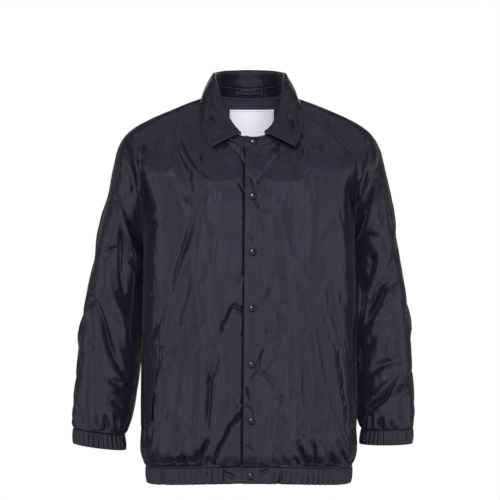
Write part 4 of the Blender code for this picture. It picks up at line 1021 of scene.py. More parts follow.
# The sleeves
leftSleeveFolds = foldTable("""
    2.6 -4.5 0 0.3 0.1 0.2  367,144 362,168 356,188
    3/2.2 -7 0 0.3 0.1 0.4  371.5,165 364,185 357,203
    5/2.8 -9 0 0.25 0.1 0.6  377,146 381,161 377,181 368,203 360,223 355,238
    2.6 4.5 0 0.2 0.1 0.2  374,154 369,184 361,205
    4.2 4.5 0 0.2 0.1 0.2  386,178 376,207 366,233 359,252
    1.8 -3.2 0 0.4 0.2 0.5  364,203 357,218
    1.7 -2.2 0 0.2 0.2 0.2  384,184 383,232
    2.8 1.8 0 0.1 0.2 0.2  389,186 388,240
    3.6 -3.8 0 0.2 0.3 0.2  359,250 369,236 381,241
    6.5 -5.5 0 0.1 0.3 0.3  366,250 371,262 365,282
    3.2/2.2 5 0 0.25 0.1 0.2  381,244 377,275 369,300 364,324
    4.5 -8 0 0.2 0.3 0.3  357,276 359,300 357,326
    4.6/2.2 -8 0.2 0.25 0.2 0.4  402,276 385,291 374.5,307 364.5,326
    4.5 3.6 0 0.1 0.2 0.2  405,290 389,305 376,322 367,337
    5 -6 0 0.15 0.3 0.2  399,246 392,266 381,288 372,304
    7 -4 0 0 0.3 0.3  384,190 386,220 384,250
    3.4 -3 0.3 0.2 0.2 0.2  396,322 386,343 380,360
    4.5 -3 0 0.1 0.2 0.2  373,334 369,345 360,351
    3.2/5.5 -6.5 0.3 0.15 0.2 0.4  406,360 390,363 377,368 365,378
    2.2/3.2 -7 0.2 0.4 0.1 0.6  406,368 393,386 384,399 371.5,406 360,421
    2.4 3.6 0 0.3 0.1 0.1  402,368 386,386 372,397
    2.2 -4.6 0 0.4 0.4 0.1  413,373 401,387 391,396
    2.4 2.8 0 0.3 0.2 0.1  411,384 397,399
    1.7 -3 0 0.3 0.1 0.7  370,413 371,429
    1.5 -2.6 0 0.3 0.1 0.7  380,417 380.5,428
    1.8 2.2 0 0.3 0.1 0.7  375.5,412 376,428
    1.6 -2.6 0 0.3 0.1 0.7  391,419 392,428
    1.6 -2.6 0 0.3 0.1 0.7  400,414 401,427
    1.8 2 0 0.3 0.1 0.7  386,414 386.5,428
    4.5 -4 0 0.1 0.3 0.3  357,332 358,360 360,386
    3 -2.6 0.2 0.2 0.1 0.1  333.5,133 345,149 357,165
""")
rightSleeveFolds = foldTable("""
    2.2/3 -8.5 0 0.35 0.5 0.5  128,140 132.7,161 139,182 146.5,203
    1.7 -4.2 0 0.4 0.1 0.3  143.5,141 145.5,157
    1.9/2.4 -5.5 0 0.3 0.1 0.4  135,153 143.5,178 148,191
    1.7 3.4 0 0.3 0.1 0.2  131.5,148 138,168 144.5,187
    2 3.4 0 0.3 0.1 0.2  139.5,143 143,165 147.5,177
    1.6/3.4 -3.6 0 0.3 0.1 0.2  120.5,162 128.4,175 132,203
    2.2/3.8 -8.5 0.2 0.4 0.5 0.5  117.5,199 128.4,224 137,242 144,258
    2.3 -6 0 0.3 0.1 0.4  116.5,208 120.8,235 122,258 122,278 124.5,294
    1.6/3.2 4.6 0 0.3 0.1 0.3  120,206 126,226 129.5,250 131,284
    1.7 -4.6 0 0.4 0.3 0.3  128,258 135,271
    4.5 -5 0 0.1 0.2 0.3  137,240 138,262 137,290 134,320 130,348
    2.8 -4 0 0.2 0.3 0.3  104.5,262 111,250 118,248
    4.4 5 0 0.15 0.1 0.2  103.7,250 109.4,291 121,318.5 128,348 134,370
    5.6/2.6 -8.5 0.2 0.3 0.8 0.4  85,294 98,309 107,332 114.5,355 125,376
    1.7 -3 0 0.4 0.1 0.1  86.5,333 92.2,350 97,366
    2.7 -3.6 0 0.2 0.1 0.3  106,379 116,383 124,385
    2.2 3 0 0.3 0.1 0.4  110,370 124,380 131,383
    2.8 -5.2 0 0.3 0.5 0.2  131,388 123,391 115,393
    2.2 -3 0 0.2 0.2 0.2  110,400 117,404 124,409
    1.8 -3.6 0 0.4 0.1 0.3  77,402 80,415 83,428
    6.5 2.6 0 0 0.2 0.2  96,344 91,370 89,397
    1.7 -3 0 0.3 0.1 0.7  106,413 107,428
    1.6 -3 0 0.3 0.1 0.7  117,416 117.5,430
    1.6 -2.8 0 0.3 0.1 0.7  96,412 97,426
    1.8 2.2 0 0.3 0.1 0.7  111.5,412 112,428
    1.8 2.2 0 0.3 0.1 0.7  101,412 102,427
""")
sleeveBackFolds = foldTable("""
    3.2 -4.5 0 0.3 0.1 0.2  372,160 362,185 356,210
    3.8/2.4 -6.5 0 0.3 0.1 0.4  388,168 372,204 359,236
    3 3.8 0 0.2 0.1 0.2  379,164 367,196 358,219
    4.4/2.4 -6.5 0.2 0.3 0.1 0.4  398,238 382,262 362,282
    3.8 4 0 0.2 0.1 0.2  402,254 386,280 367,300
    4.4 -6 0.2 0.3 0.1 0.3  408,308 392,334 372,352
    4.2 4 0 0.1 0.1 0.2  410,330 397,352 378,370
    3.4 -5.5 0 0.4 0.1 0.4  412,366 398,386 376,404
    2.6 3.2 0 0.3 0.1 0.2  411,382 398,398 384,408
    1.8 -3 0 0.3 0.1 0.7  374,412 375,428
    1.8 -3 0 0.3 0.1 0.7  385,412 386,428
    1.8 -3 0 0.3 0.1 0.7  397,412 398,428
""")
sleeveSideFolds = foldTable("""
    4 -4 0 0.2 0.2 0.2  226,190 238,226 262,258
    4 3.2 0 0.1 0.2 0.2  244,176 252,216 270,246
    4.2 -4.6 0.2 0.3 0.2 0.2  276,268 256,300 232,322
    3.6 3.4 0 0.1 0.2 0.2  274,290 256,318 236,340
    3.6 -4.4 0.2 0.3 0.2 0.2  270,340 254,366 234,384
    3.2 -3.8 0 0.3 0.2 0.2  266,374 252,396 238,410
""")
sleeveShape = {
    "waves": 7,
    "height": 0.0022,
    "reach": 0.050,
    "fineWaves": 34,
    "fineHeight": 0.0011,
    "fineReach": 0.018,
}


def placesTurned(folds, shift=0):
    # the same folds for the other arm, mirrored about the picture's upright middle
    wide = cameraPlace["frameSize"]
    return [(*fold[:-1], [(wide - u, v + shift) for u, v in fold[-1]]) for fold in folds]


def armNormals(side, grid):
    # outward normals, the same at the first and last columns of the closed rows
    out = -mirrored(side, normalsOf(mirrored(side, grid)))
    shut = slice(mesh["rowsAbove"], None)
    out[shut, 0] = out[shut, -1] = unit(out[shut, 0] + out[shut, -1])
    return out


def sleeve(side):
    # one sleeve, neck first: open rows over the shoulder, then closed rings down to the cuff seam
    columns = mesh["sleeveColumns"]
    rows = np.linspace(0, armpitRow, mesh["rowsAbove"] + 1)[:-1]
    above = [swung(side, row) for row in shoulderRows(side, rows)]
    share = garment["seamGap"] / garment["cuffLength"]
    belowRows = np.linspace(armpitRow, cuffRow - share, mesh["rowsArm"] + 1)
    above = evenRows(above, columns, mesh["crowd"])
    below = armRows(side, belowRows, columns, mesh["crowd"])
    # the swung arm's edges go back to the raglan seams, and its innermost line to the armpit
    t = np.linspace(0, 1, columns + 1)[None, :, None]
    frontMove = raglanAt(side, "front", rows) - above[:, 0]
    backMove = raglanAt(side, "back", rows) - above[:, -1]
    above = above + (1 - t) ** 4 * frontMove[:, None] + t**4 * backMove[:, None]
    armpitMove = raglanAt(side, "front", armpitRow) - below[0, 0]
    fading = ease(1 - (below[:1, :1, 2] - below[:, :1, 2]) / 0.045)[..., None]
    below = below + ((1 - t) ** 4 + t**4) * armpitMove * fading
    local = np.concatenate([above, below])
    grid = mirrored(side, local)
    out = armNormals(side, grid)
    across, down = acrossAndUp(grid)
    whole = across[:, -1:]
    fromSeam = np.minimum(across, whole - across)
    ahead = grid[..., 1] < 0
    shutRows = np.arange(len(grid))[:, None] >= mesh["rowsAbove"]
    fromSeam = np.where(shutRows & ~ahead, 0.05, fromSeam)
    fromCuff = down[-1:] - down
    fromEdges = ease(np.minimum(across, whole - across) / fadeOver["sleeveSide"])
    shutShare = ease((np.arange(len(grid))[:, None] - mesh["rowsAbove"]) / 16)
    ends = ease((down - fadeOver["end"]) / fadeOver["sleeveTop"]) * ease(fromCuff / fadeOver["end"])
    fade = (fromEdges + (1 - fromEdges) * shutShare) * ends
    front = leftSleeveFolds if side == left else rightSleeveFolds
    behind = sleeveBackFolds if side == right else placesTurned(sleeveBackFolds, 9)
    outer = sleeveSideFolds if side == left else placesTurned(placesTurned(sleeveSideFolds, 12))
    views = {"front": front, "back": behind, "leftSide" if side == left else "rightSide": outer}
    high = foldsSeen(views, grid, out)
    run = across / whole
    high += drapes(61 + side, across, down, width=0.055, length=0.150, height=0.0011) * fromEdges
    grid = grid + out * (high * fade)[..., None]
    out = armNormals(side, grid)
    area = (75, 95, 148, 425) if side == right else (352, 95, 415, 425)
    small = smallFolds(70 + side, 75, area, (0.2, 0.9), 30 * side)
    wide = cameraPlace["frameSize"]
    behindArea = (wide - area[2], area[1], wide - area[0], area[3])
    smallBehind = smallFolds(74 + side, 85, behindArea, (0.3, 1.2), -25 * side)
    low = foldsSeen({"front": small, "back": smallBehind}, grid, out)
    fine = {"width": 0.017, "length": 0.055, "height": 0.0008, "ridged": 0.6}
    low += drapes(64 + side, across, down, **fine) * fromEdges
    shape = sleeveShape
    wander = 0.3 * noiseAt(80 + side, run * 8, run * 0)
    fineSize = 0.6 + 0.6 * noiseAt(82 + side, run * 20, fromCuff / 0.02)
    coarse, fine = pleated(shape, run, 1, wander, fineSize, 0)
    coarse = coarse * ease(fromCuff / 0.010) * ease(1 - fromCuff / shape["reach"])
    fine = fine * ease(fromCuff / 0.003) * ease(1 - fromCuff / shape["fineReach"])
    low = (low + coarse + fine) * fade
    pitches = garment["puckerPitch"]
    seam = np.where(shutRows, garment["seamRoll"], seamRoll(fromSeam))
    low += seam + seamRoll(down) - garment["seamRoll"]
    low += np.where(shutRows, 0, puckers(84 + side, down, fromSeam, pitches[0]))
    low += puckers(86 + side, across, down, pitches[1])
    low *= ease(fromCuff / fadeOver["end"])
    grid = grid + out * low[..., None]
    shut = slice(mesh["rowsAbove"], None)
    grid[shut, 0] = grid[shut, -1] = (grid[shut, 0] + grid[shut, -1]) / 2
    return grid


hem = {
    "waves": 92,
    "height": 0.0023,
    "flat": 0.062,  # metres without pleats at each end
    "pleatsFrom": 0.78,  # shares of it where the pleats begin, and over which they grow
    "pleatsOver": 0.22,
    "sizePitch": 0.045,  # metres over which the pleats' size, shear and wander change
    "shearPitch": 0.03,
    "finePitch": 0.020,
    "wanderPitch": 0.060,
    "seamSink": 0.0008,
    "fineWaves": 200,
    "fineHeight": 0.0013,
    "bulge": 0.0018,
    "rows": 12,
    "columns": 1500,
}

hemDrags = foldTable("""
    2.2 -2.6 0 0.3 0.2 0.2  219,469 229,475 240,481
    1.8 -2.2 0 0.3 0.2 0.4  273,469 264,472 256,475
    2.2 -3 0 0.3 0.5 0.5  286,469 281,476 278,484
    2.4 -2.6 0 0.2 0.4 0.4  160,469 163,478 164,484
    3 1.6 0 0.1 0.3 0.3  335,469 336,483
""")


def bandProfile(count):
    # the shares of a band's height, and how far it swells out at each, in metres
    t = np.linspace(0, 1, count + 1)
    return t, hem["bulge"] * np.sin(math.pi * np.clip(t * 1.02, 0, 1)) ** 0.7 - hem["seamSink"]


def bandWaves(t, coarse, fine):
    # the pleats of a band, lower beside its seam: each is its share there and grows to full over its reach
    total = 0
    for waves, share, reach in ((coarse, 0.35, 0.25), (fine, 0.2, 0.12)):
        total = total + waves * (share + (1 - share) * ease(t / reach))[:, None]
    return total


def hemBand():
    # the elasticated band, from the right front's end, under, round the back to the left front's end, over
    middle = closingX(garment["hemSeam"])
    underEnd = angleAt(frontSections, middle + closing["edgeFromSnaps"], garment["hemSeam"])
    overEnd = angleAt(frontSections, middle - closing["edgeFromSnaps"], garment["hemSeam"])
    turns = np.linspace(-math.pi - underEnd, math.pi - overEnd, 2401)
    t, swell = bandProfile(hem["rows"])
    high, low = garment["hemSeam"] - garment["seamGap"], garment["hemBottom"]
    rows = []
    for z in high + (low - high) * t:
        behind = (np.abs(turns) < math.pi / 2)[:, None]
        rows.append(np.where(behind, backHalf(turns, z), frontHalf(math.pi - turns, z)))
    grid = evenRows(rows, hem["columns"])
    out = normalsOf(grid)
    across, _ = acrossAndUp(grid)
    length = across[0, -1]
    fromEnds = np.minimum(across, length - across)
    share = np.clip((across - hem["flat"]) / (length - 2 * hem["flat"]), 0, 1)
    closed = ease((fromEnds / hem["flat"] - hem["pleatsFrom"]) / hem["pleatsOver"])
    size = 0.65 + 0.5 * noiseAt(91, across / hem["sizePitch"], across * 0)
    wander = 0.9 * np.sin(2 * math.pi * 3.3 * share) * share * (1 - share)
    shear = 0.5 * noiseAt(94, across / hem["shearPitch"], across * 0 + t[:, None] * 1.3)
    fineSize = 0.45 + 0.75 * np.abs(noiseAt(92, across / hem["finePitch"], t[:, None] * 2.0))
    fineWander = 1.6 * noiseAt(93, across / hem["wanderPitch"], across * 0)
    waves = bandWaves(t, *pleated(hem, share, size, wander, fineSize, fineWander + shear)) * closed
    shift = closing["layers"] / 2
    ends = 2 * closing["edgeFromSnaps"]
    lap = shift * ease(1 - (length - across - ends) / closing["lapRamp"])
    lap -= shift * ease(1 - (across - ends) / closing["lapRamp"])
    dragged = foldField(*seenFrom("front", grid), hemDrags) * (grid[..., 1] < 0)
    return hung(grid + out * (waves + lap + swell[:, None] + dragged)[..., None])


cuffShape = {
    "waves": 30,
    "height": 0.0017,
    "fineWaves": 62,
    "fineHeight": 0.0011,
    "columns": 420,
    "rows": 12,
}


def cuff(side):
    # one elasticated cuff, seam first, as closed rings
    t, swell = bandProfile(cuffShape["rows"])
    share = garment["seamGap"] / garment["cuffLength"]
    local = armRows(side, cuffRow + share + (cuffEndRow - cuffRow - share) * t, cuffShape["columns"])
    run = np.linspace(0, 1, cuffShape["columns"] + 1)[None]
    uneven = 0.75 + 0.25 * np.sin(2 * math.pi * run * 3 + 0.6)
    wander = 0.6 * np.sin(2 * math.pi * (2 * run + 0.1 * side))
    wander = wander + 0.5 * t[:, None] * np.sin(2 * math.pi * 3 * run)
    fineSize = 0.55 + 0.45 * np.sin(2 * math.pi * 5 * run + side)
    waves = bandWaves(t, *pleated(cuffShape, run, uneven, 0, fineSize, wander))
    local = local - normalsOf(local) * (waves + swell[:, None])[..., None]
    local[:, -1] = local[:, 0]
    return mirrored(side, local)


collar = {
    "endTurn": 164.0,
    "bandEndTurn": 190.5,
    "bandHeight": 0.0195,
    "foldRadius": 0.0026,
    "belly": 0.0035,
    "cloth": 0.0010,
    "openLeft": 0.0105,  # how far out of the CAD line the fold stands beside the throat
    "openRight": 0.0065,
    "columns": 220,
    "rows": 44,
    "bandRows": 8,
    "leanBack": 0.0030,  # how far the neckband leans in over its height, at the back
    "leanThroat": 0.0080,
    "lapReach": 16.0,  # degrees
    "openFrom": 55,  # the turns where the fold starts to stand out, where it stops, and over how many it does
    "openOver": 40,
    "openTo": 168,
    "openEnd": 22,
    "leafKnots": (0, 1.6, 3.0, 3.5, 4.1, 5.8, 7.2, 8.0),
    "groove": 0.0006,  # beside the outer edge
    "grooveAt": 0.005,
    "grooveWidth": 0.0016,
}
collarEdge = table(
    "turn rise edgeX edgeY edgeZ",
    [
        (-30, 0.0310, -0.0530, 0.0860, -0.0010),
        (0, 0.0355, 0.0000, 0.1010, -0.0020),
        (30, 0.0310, 0.0530, 0.0860, -0.0010),
        (60, 0.0240, 0.0800, 0.0460, 0.0075),
        (90, 0.0220, 0.0895, -0.0080, 0.0095),
        (120, 0.0250, 0.0970, -0.0540, -0.0200),
        (140, 0.0230, 0.0955, -0.0800, -0.0550),
        (155, 0.0130, 0.0870, -0.0970, -0.0800),
        (164, 0.0055, 0.0790, -0.1055, -0.0945),
    ],
)


def aboveNeck(turn, height):
    # a point this far up the neckband, which leans in: most at the throat
    base = neckAt(turn)
    toThroat = (1 - np.cos(np.radians(turn))) / 2
    lean = collar["leanBack"] + (collar["leanThroat"] - collar["leanBack"]) * toThroat
    lean = lean / collar["bandHeight"]
    inward = points(-base[..., 0], -0.005 - base[..., 1], 0 * base[..., 0])
    up = unit(unit(inward) * lean[..., None] + np.array([0.0, 0.0, 1.0]))
    return base + up * np.asarray(height)[..., None]


def neckband():
    # the band from the neck seam to the collar seam, lapped at the front like the closing
    ends = np.linspace(collar["endTurn"], collar["bandEndTurn"], 19)[1:]
    middle = np.linspace(-collar["endTurn"], collar["endTurn"], 261)
    turns = np.concatenate([-ends[::-1], middle, ends])
    heights = np.linspace(0, 1, collar["bandRows"] + 1)
    grid = np.array([aboveNeck(turns, np.full(turns.shape, h * collar["bandHeight"])) for h in heights])
    out = -normalsOf(grid)
    reach = collar["lapReach"]
    over = ease((turns - (180 - 2 * reach)) / reach)
    under = ease((-turns - (180 - 2 * reach)) / reach)
    lap = closing["layers"] / 2 * (over - under)
    across, up = acrossAndUp(grid)
    low = lap[None, :] + 0.0006 * np.sin(math.pi * heights)[:, None]
    low = low + puckers(101, across, up, pitch=0.008, height=0.0004, reach=0.02)
    low = low + drapes(102, across, up, width=0.02, length=0.03, height=0.0005)
    return grid + out * low[..., None], turns


collarFolds = foldTable("""
    2 -4.5 0 0.5 0.3 0.3  287,112 290,118 294,132
    2.6 2.2 0 0.2 0.2 0.2  284,112 288,130
    1.8 -3.6 0 0.5 0.3 0.2  211,110 212,116 213.5,125
    2.6 1.6 0 0.2 0.2 0.2  205,112 206,130
    3.4 -2.8 0 0.2 0.2 0.2  222,128 216,138 212,144
    4 2.6 0 0.2 0.2 0.2  214,96 218,110 228,124
    4 -2.4 0 0.2 0.2 0.2  281,112 277,122 282,134
    2.6 -1.4 0 0.2 0.2 0.2  300,108 299,126
""")


def collarLeaf(stand, standTurns):
    # the leaf, from the neckband's top up its rise, over the fold and down to its outer edge, by eight lines
    turns = np.linspace(-collar["endTurn"], collar["endTurn"], collar["columns"] + 1)
    v = readAt(collarEdge, "turn", np.abs(turns))
    forward = np.maximum(0, -np.cos(np.radians(turns)))
    edge = points(np.sign(turns) * v["edgeX"] + closing["topX"] * forward, v["edgeY"], v["edgeZ"])
    foot = placeAt(turns, standTurns, stand[-1])
    foot[:, 2] += 0.0005
    top = aboveNeck(turns, collar["bandHeight"] + v["rise"])
    open = np.where(turns > 0, collar["openLeft"], collar["openRight"])
    open = open * ease((np.abs(turns) - collar["openFrom"]) / collar["openOver"])
    open = open * ease((collar["openTo"] - np.abs(turns)) / collar["openEnd"])
    top = top + unit(top * np.array([1, 1, 0])) * open[:, None]
    up = unit(top - foot)
    outward = unit(np.cross(up, np.gradient(top, axis=0)))
    radius = collar["foldRadius"]
    crown = top + outward * radius
    over = top + outward * 2 * radius - up * radius * 0.6
    lowIn = top - up * np.minimum(radius * 0.8, v["rise"] * 0.35)[:, None]
    belly = over * 0.5 + edge * 0.5 + outward * collar["belly"]
    lower = over * 0.2 + edge * 0.8 + outward * collar["belly"] * 0.6
    lines = np.array([foot, foot * 0.5 + lowIn * 0.5, lowIn, crown, over, belly, lower, edge])
    knots = np.array(collar["leafKnots"])
    at = np.linspace(0, knots[-1], collar["rows"] + 1)
    grid = spline(knots, lines, at)
    out = normalsOf(grid)
    across, along = acrossAndUp(grid)
    fromEdge = along[-1:] - along
    fromEnds = np.minimum(across, across[:, -1:] - across)
    outer = ease((at - 4.0) / 0.8)[:, None]
    low = foldsSeen({"front": collarFolds}, grid, out) * outer
    soft = drapes(105, across, along, width=0.035, length=0.040, height=0.0011)
    low += soft * outer * ease(fromEnds / 0.02)
    low += puckers(106, across, fromEdge, pitch=0.010, height=0.0004, reach=0.016) * outer
    low -= collar["groove"] * bell((fromEdge - collar["grooveAt"]) / collar["grooveWidth"]) * outer
    return grid + out * low[..., None]


def partAtNeck(pieces, stand, turns):
    # moves the top edges of the body's pieces and the foot of the neckband apart: a piece is its top edge and
    # the row below it
    fine = np.linspace(-collar["bandEndTurn"], collar["bandEndTurn"], 1525)
    line = neckAt(fine)
    along = unit(np.gradient(line, axis=0))
    up = aboveNeck(fine, np.full(fine.shape, 0.001)) - line
    foundTurns, foundMoves = [], []
    for edge, below in pieces:
        near = np.linalg.norm(edge[:, None] - line[None], axis=-1)
        spans = np.where(np.sign(fine) == np.sign(edge[len(edge) // 2, 0]), 0, 0.001)
        at = (near + spans[None]).argmin(axis=1)
        move = seamMoves(along[at], below - edge, up[at], garment["cloth"])
        edge -= move
        foundTurns.append(fine[at])
        foundMoves.append(move)
    found, moves = np.concatenate(foundTurns), np.concatenate(foundMoves)
    order = np.argsort(found)
    for k in range(3):
        stand[0, :, k] += np.interp(turns, found[order], moves[order, k])


welt = {
    "cloth": 0.0011,
    "rows": 60,
    "columns": 10,
    "bulge": 0.0006,
    "taper": 0.25,
    "edgeDrop": 0.0007,
    "endDrop": 0.0006,
    "endShare": 0.03,
    "ripple": 0.00035,
    "ripples": 13,
    "reach": 0.0060,
}


def pocketWelt(front, side):
    # the welt from the slit towards the side seam, a little fuller in its middle
    t = np.linspace(-0.01, 1.01, welt["rows"] + 1)[:, None]
    s = np.linspace(0, 1, welt["columns"] + 1)[None]
    slitX = pocket["topX"] + (pocket["bottomX"] - pocket["topX"]) * t
    along = t * math.hypot(pocket["bottomX"] - pocket["topX"], pocket["bottomZ"] - pocket["topZ"])
    x = side * (slitX + pocket["width"] * s * (1 - welt["taper"] * t) + pocketWander(along))
    z = pocket["topZ"] + (pocket["bottomZ"] - pocket["topZ"]) * t + 0 * s
    lift = pocket["lift"] + welt["bulge"] * np.sin(math.pi * s) - welt["edgeDrop"] * s**4
    lift = lift - welt["endDrop"] * (1 - ease((0.5 - np.abs(t - 0.5)) / welt["endShare"]))
    lift = lift + welt["ripple"] * np.cos(2 * math.pi * t * welt["ripples"] + 2 * np.sin(9 * t)) * s
    grid, out = laidOn(front, "front", x, z, 0.0, welt["reach"])
    return grid + out * lift[..., None]


label = {
    "x": 0.0056,
    "width": 0.088,
    "top": -0.010,
    "bottom": -0.075,
    "cloth": 0.0008,
    "stitchInset": 0.0036,
    "weavePitch": 0.0005,
    "lift": 0.0013,
    "unevenness": 0.0004,
    "rimLift": 0.0005,
    "rimWidth": 0.003,
    "stitchDent": 0.0004,
    "stitchWidth": 0.0012,
    "reach": 0.0120,
}


def neckLabel(back):
    # the label on the inside of the back, its sides a little raised
    s = np.linspace(-1, 1, 61)[None]
    t = np.linspace(0, 1, 41)[:, None]
    x = label["x"] + label["width"] / 2 * s + 0 * t
    z = label["top"] + (label["bottom"] - label["top"]) * t + 0 * s
    grid, out = laidOn(back, "back", x, z, 0.0, label["reach"])
    tall = label["top"] - label["bottom"]
    edge = np.minimum((1 - np.abs(s)) * label["width"] / 2, (0.5 - np.abs(t - 0.5)) * tall)
    lift = label["lift"] + label["unevenness"] * noiseAt(131, s * 2.2 + 0 * t, t * 1.4 + 0 * s)
    lift = lift + label["rimLift"] * bell(edge / label["rimWidth"])
    lift = lift - label["stitchDent"] * bell((edge - label["stitchInset"]) / label["stitchWidth"])
    return grid - out * lift[..., None], -out


loop = {
    "span": 0.054,
    "height": 0.007,
    "bow": 0.006,
    "cloth": 0.0010,
    "neckRadius": 0.085,
    "level": 0.42,  # the share of the neckband's height that its middle is at
    "off": 0.0018,
    "crown": 0.0007,  # how much fuller its middle line is than its edges
    "sink": 0.0003,
    "steps": 61,
}


def hangerLoop():
    # a strip across the inside of the neckband, held at its ends and bowed off it between them
    s = np.linspace(-1, 1, loop["steps"])
    turns = np.degrees(np.arcsin(s * loop["span"] / 2 / loop["neckRadius"]))
    heights = np.linspace(-0.5, 0.5, 9) * loop["height"] + collar["bandHeight"] * loop["level"]
    grid = np.array([aboveNeck(turns, np.full(turns.shape, h)) for h in heights])
    off = loop["off"] + loop["bow"] * (1 - s**2) ** 1.5
    across = np.linspace(-1, 1, 9)[:, None]
    tube = loop["crown"] * (1 - across**2) - loop["sink"]
    return grid + normalsOf(grid) * (off[None] + tube)[..., None]


snap = {"radius": 0.0070, "height": 0.0037, "seat": 0.0002, "steps": 40, "reach": 0.0060}


def snapProfile():
    # radii and heights of a dome, R sin a and H cos a, over a low rim
    a = np.radians(np.linspace(0, 84, 10))
    dome = np.stack([snap["radius"] * np.sin(a), snap["height"] * np.cos(a)], axis=-1)
    rim = np.array([[0.985, 0.0], [0.86, -0.07], [0.0, -0.07]]) * [snap["radius"], snap["height"]]
    return np.concatenate([dome, rim])


def revolved(profile, steps):
    # radii and heights turned about z, with closed poles
    rings = profile[1:-1]
    turn = np.linspace(0, 2 * math.pi, steps, endpoint=False)
    ringPoints = points(rings[:, 0, None] * np.cos(turn), rings[:, 0, None] * np.sin(turn), rings[:, 1, None])
    poles = np.array([[0, 0, profile[0][1]], [0, 0, profile[-1][1]]])
    verts = np.concatenate([ringPoints.reshape(-1, 3), poles])
    k, m = np.arange(steps), (np.arange(steps) + 1) % steps
    last = (len(rings) - 1) * steps
    starts = np.arange(len(rings) - 1)[:, None] * steps
    quads = np.stack([starts + k, starts + steps + k, starts + steps + m, starts + m], -1).reshape(-1, 4)
    top = len(verts) - 2
    fans = [[top, int(a), int(b)] for a, b in zip(k, m)]
    fans += [[top + 1, int(last + b), int(last + a)] for a, b in zip(k, m)]
    return verts, quads.tolist() + fans


thread = {
    "pitch": 0.0034,
    "length": 0.0027,
    "radius": 0.00026,
    "besideSeam": (0.0016, 0.0062),
    "fromEdge": 0.0020,
}
tack = {
    "pitch": 0.0044,
    "length": 0.0050,
    "radius": 0.0005,
    "halfSpan": 0.0022,
    "halfHeight": 0.0045,
    "count": 16,
    "ahead": 0.0006,
}


def stitchRun(line, out, shape=thread, lift=0.0004):
    # short six-sided threads along a line, their ends sunk in the cloth: vertices by thread, corner and axis
    pitch, length, radius = shape["pitch"], shape["length"], shape["radius"]
    run = runOf(line)
    count = int(run[-1] / pitch)
    at = (np.arange(count) + 0.5) * run[-1] / max(count, 1)
    centre = placeAt(at, run, line)
    normal = unit(placeAt(at, run, out))
    along = squareTo(normal, placeAt(at + length / 2, run, line) - centre)
    side = np.cross(normal, along)
    turn = np.linspace(0, 2 * math.pi, 6, endpoint=False)
    places = [(-0.5 * length, 0.0, -1.6 * radius)]
    for step in (-0.28, 0.28):
        places += [(step * length, radius * math.cos(a), radius * math.sin(a)) for a in turn]
    places.append((0.5 * length, 0.0, -1.6 * radius))
    axes = np.stack([along, side, normal], axis=1)
    return centre[:, None] + normal[:, None] * lift + np.einsum("pk,nkj->npj", np.array(places), axes)


def threadsMesh(name, runs):
    # all the threads of a group as one mesh
    verts = np.concatenate(runs)
    count = len(verts)
    template = [[0, 1 + (k + 1) % 6, 1 + k] for k in range(6)]
    template += [[1 + k, 1 + (k + 1) % 6, 7 + (k + 1) % 6, 7 + k] for k in range(6)]
    template += [[13, 7 + k, 7 + (k + 1) % 6] for k in range(6)]
    made = bpy.data.meshes.new(name)
    faceList = [[n * 14 + v for v in face] for n in range(count) for face in template]
    made.from_pydata(verts.reshape(-1, 3).tolist(), [], faceList)
    return finished(name, made)


collection = bpy.data.collections.new("coach_jacket")
bpy.context.scene.collection.children.link(collection)
triangles = {}


def finished(name, made):
    # a smooth object of this mesh, in the scene
    made.validate()
    made.shade_smooth()
    obj = bpy.data.objects.new(name, made)
    collection.objects.link(obj)
    return obj


def gridPiece(name, grid, cloth, material, closedFrom=None, outwards=1, inside=None):
    # an object from a grid of points, with the cloth's own metres as its UV map and a wall of even thickness;
    # from row closedFrom on the last column is the first one again
    rows, columns = grid.shape[:2]
    number = np.arange(rows * columns).reshape(rows, columns)
    plain = number.copy()
    if closedFrom is not None:
        number[closedFrom:, -1] = number[closedFrom:, 0]

    def corners(n):
        quads = np.stack([n[:-1, :-1], n[:-1, 1:], n[1:, 1:], n[1:, :-1]], axis=-1).reshape(-1, 4)
        return quads if outwards > 0 else quads[:, ::-1]

    used, quads = np.unique(corners(number), return_inverse=True)
    quads = quads.reshape(-1, 4)
    made = bpy.data.meshes.new(name)
    made.vertices.add(len(used))
    made.vertices.foreach_set("co", grid.reshape(-1, 3)[used].astype(np.float32).ravel())
    made.loops.add(quads.size)
    made.loops.foreach_set("vertex_index", quads.ravel().astype(np.int32))
    made.polygons.add(len(quads))
    made.polygons.foreach_set("loop_start", (np.arange(len(quads)) * 4).astype(np.int32))
    made.update(calc_edges=True)
    across, up = acrossAndUp(grid)
    uv = np.stack([across.ravel(), up.ravel()], axis=-1)[corners(plain).ravel()]
    layer = made.uv_layers.new(name="cloth")
    layer.data.foreach_set("uv", uv.astype(np.float32).ravel())
    obj = finished(name, made)
    obj.data.materials.append(material)
    wall = obj.modifiers.new("wall", "SOLIDIFY")
    wall.thickness = cloth
    wall.offset = 0
    if inside:
        obj.data.materials.append(inside)
        wall.material_offset = 1
    triangles[name] = 4 * len(quads) + 4 * (rows + columns)
    return obj


# Finishes


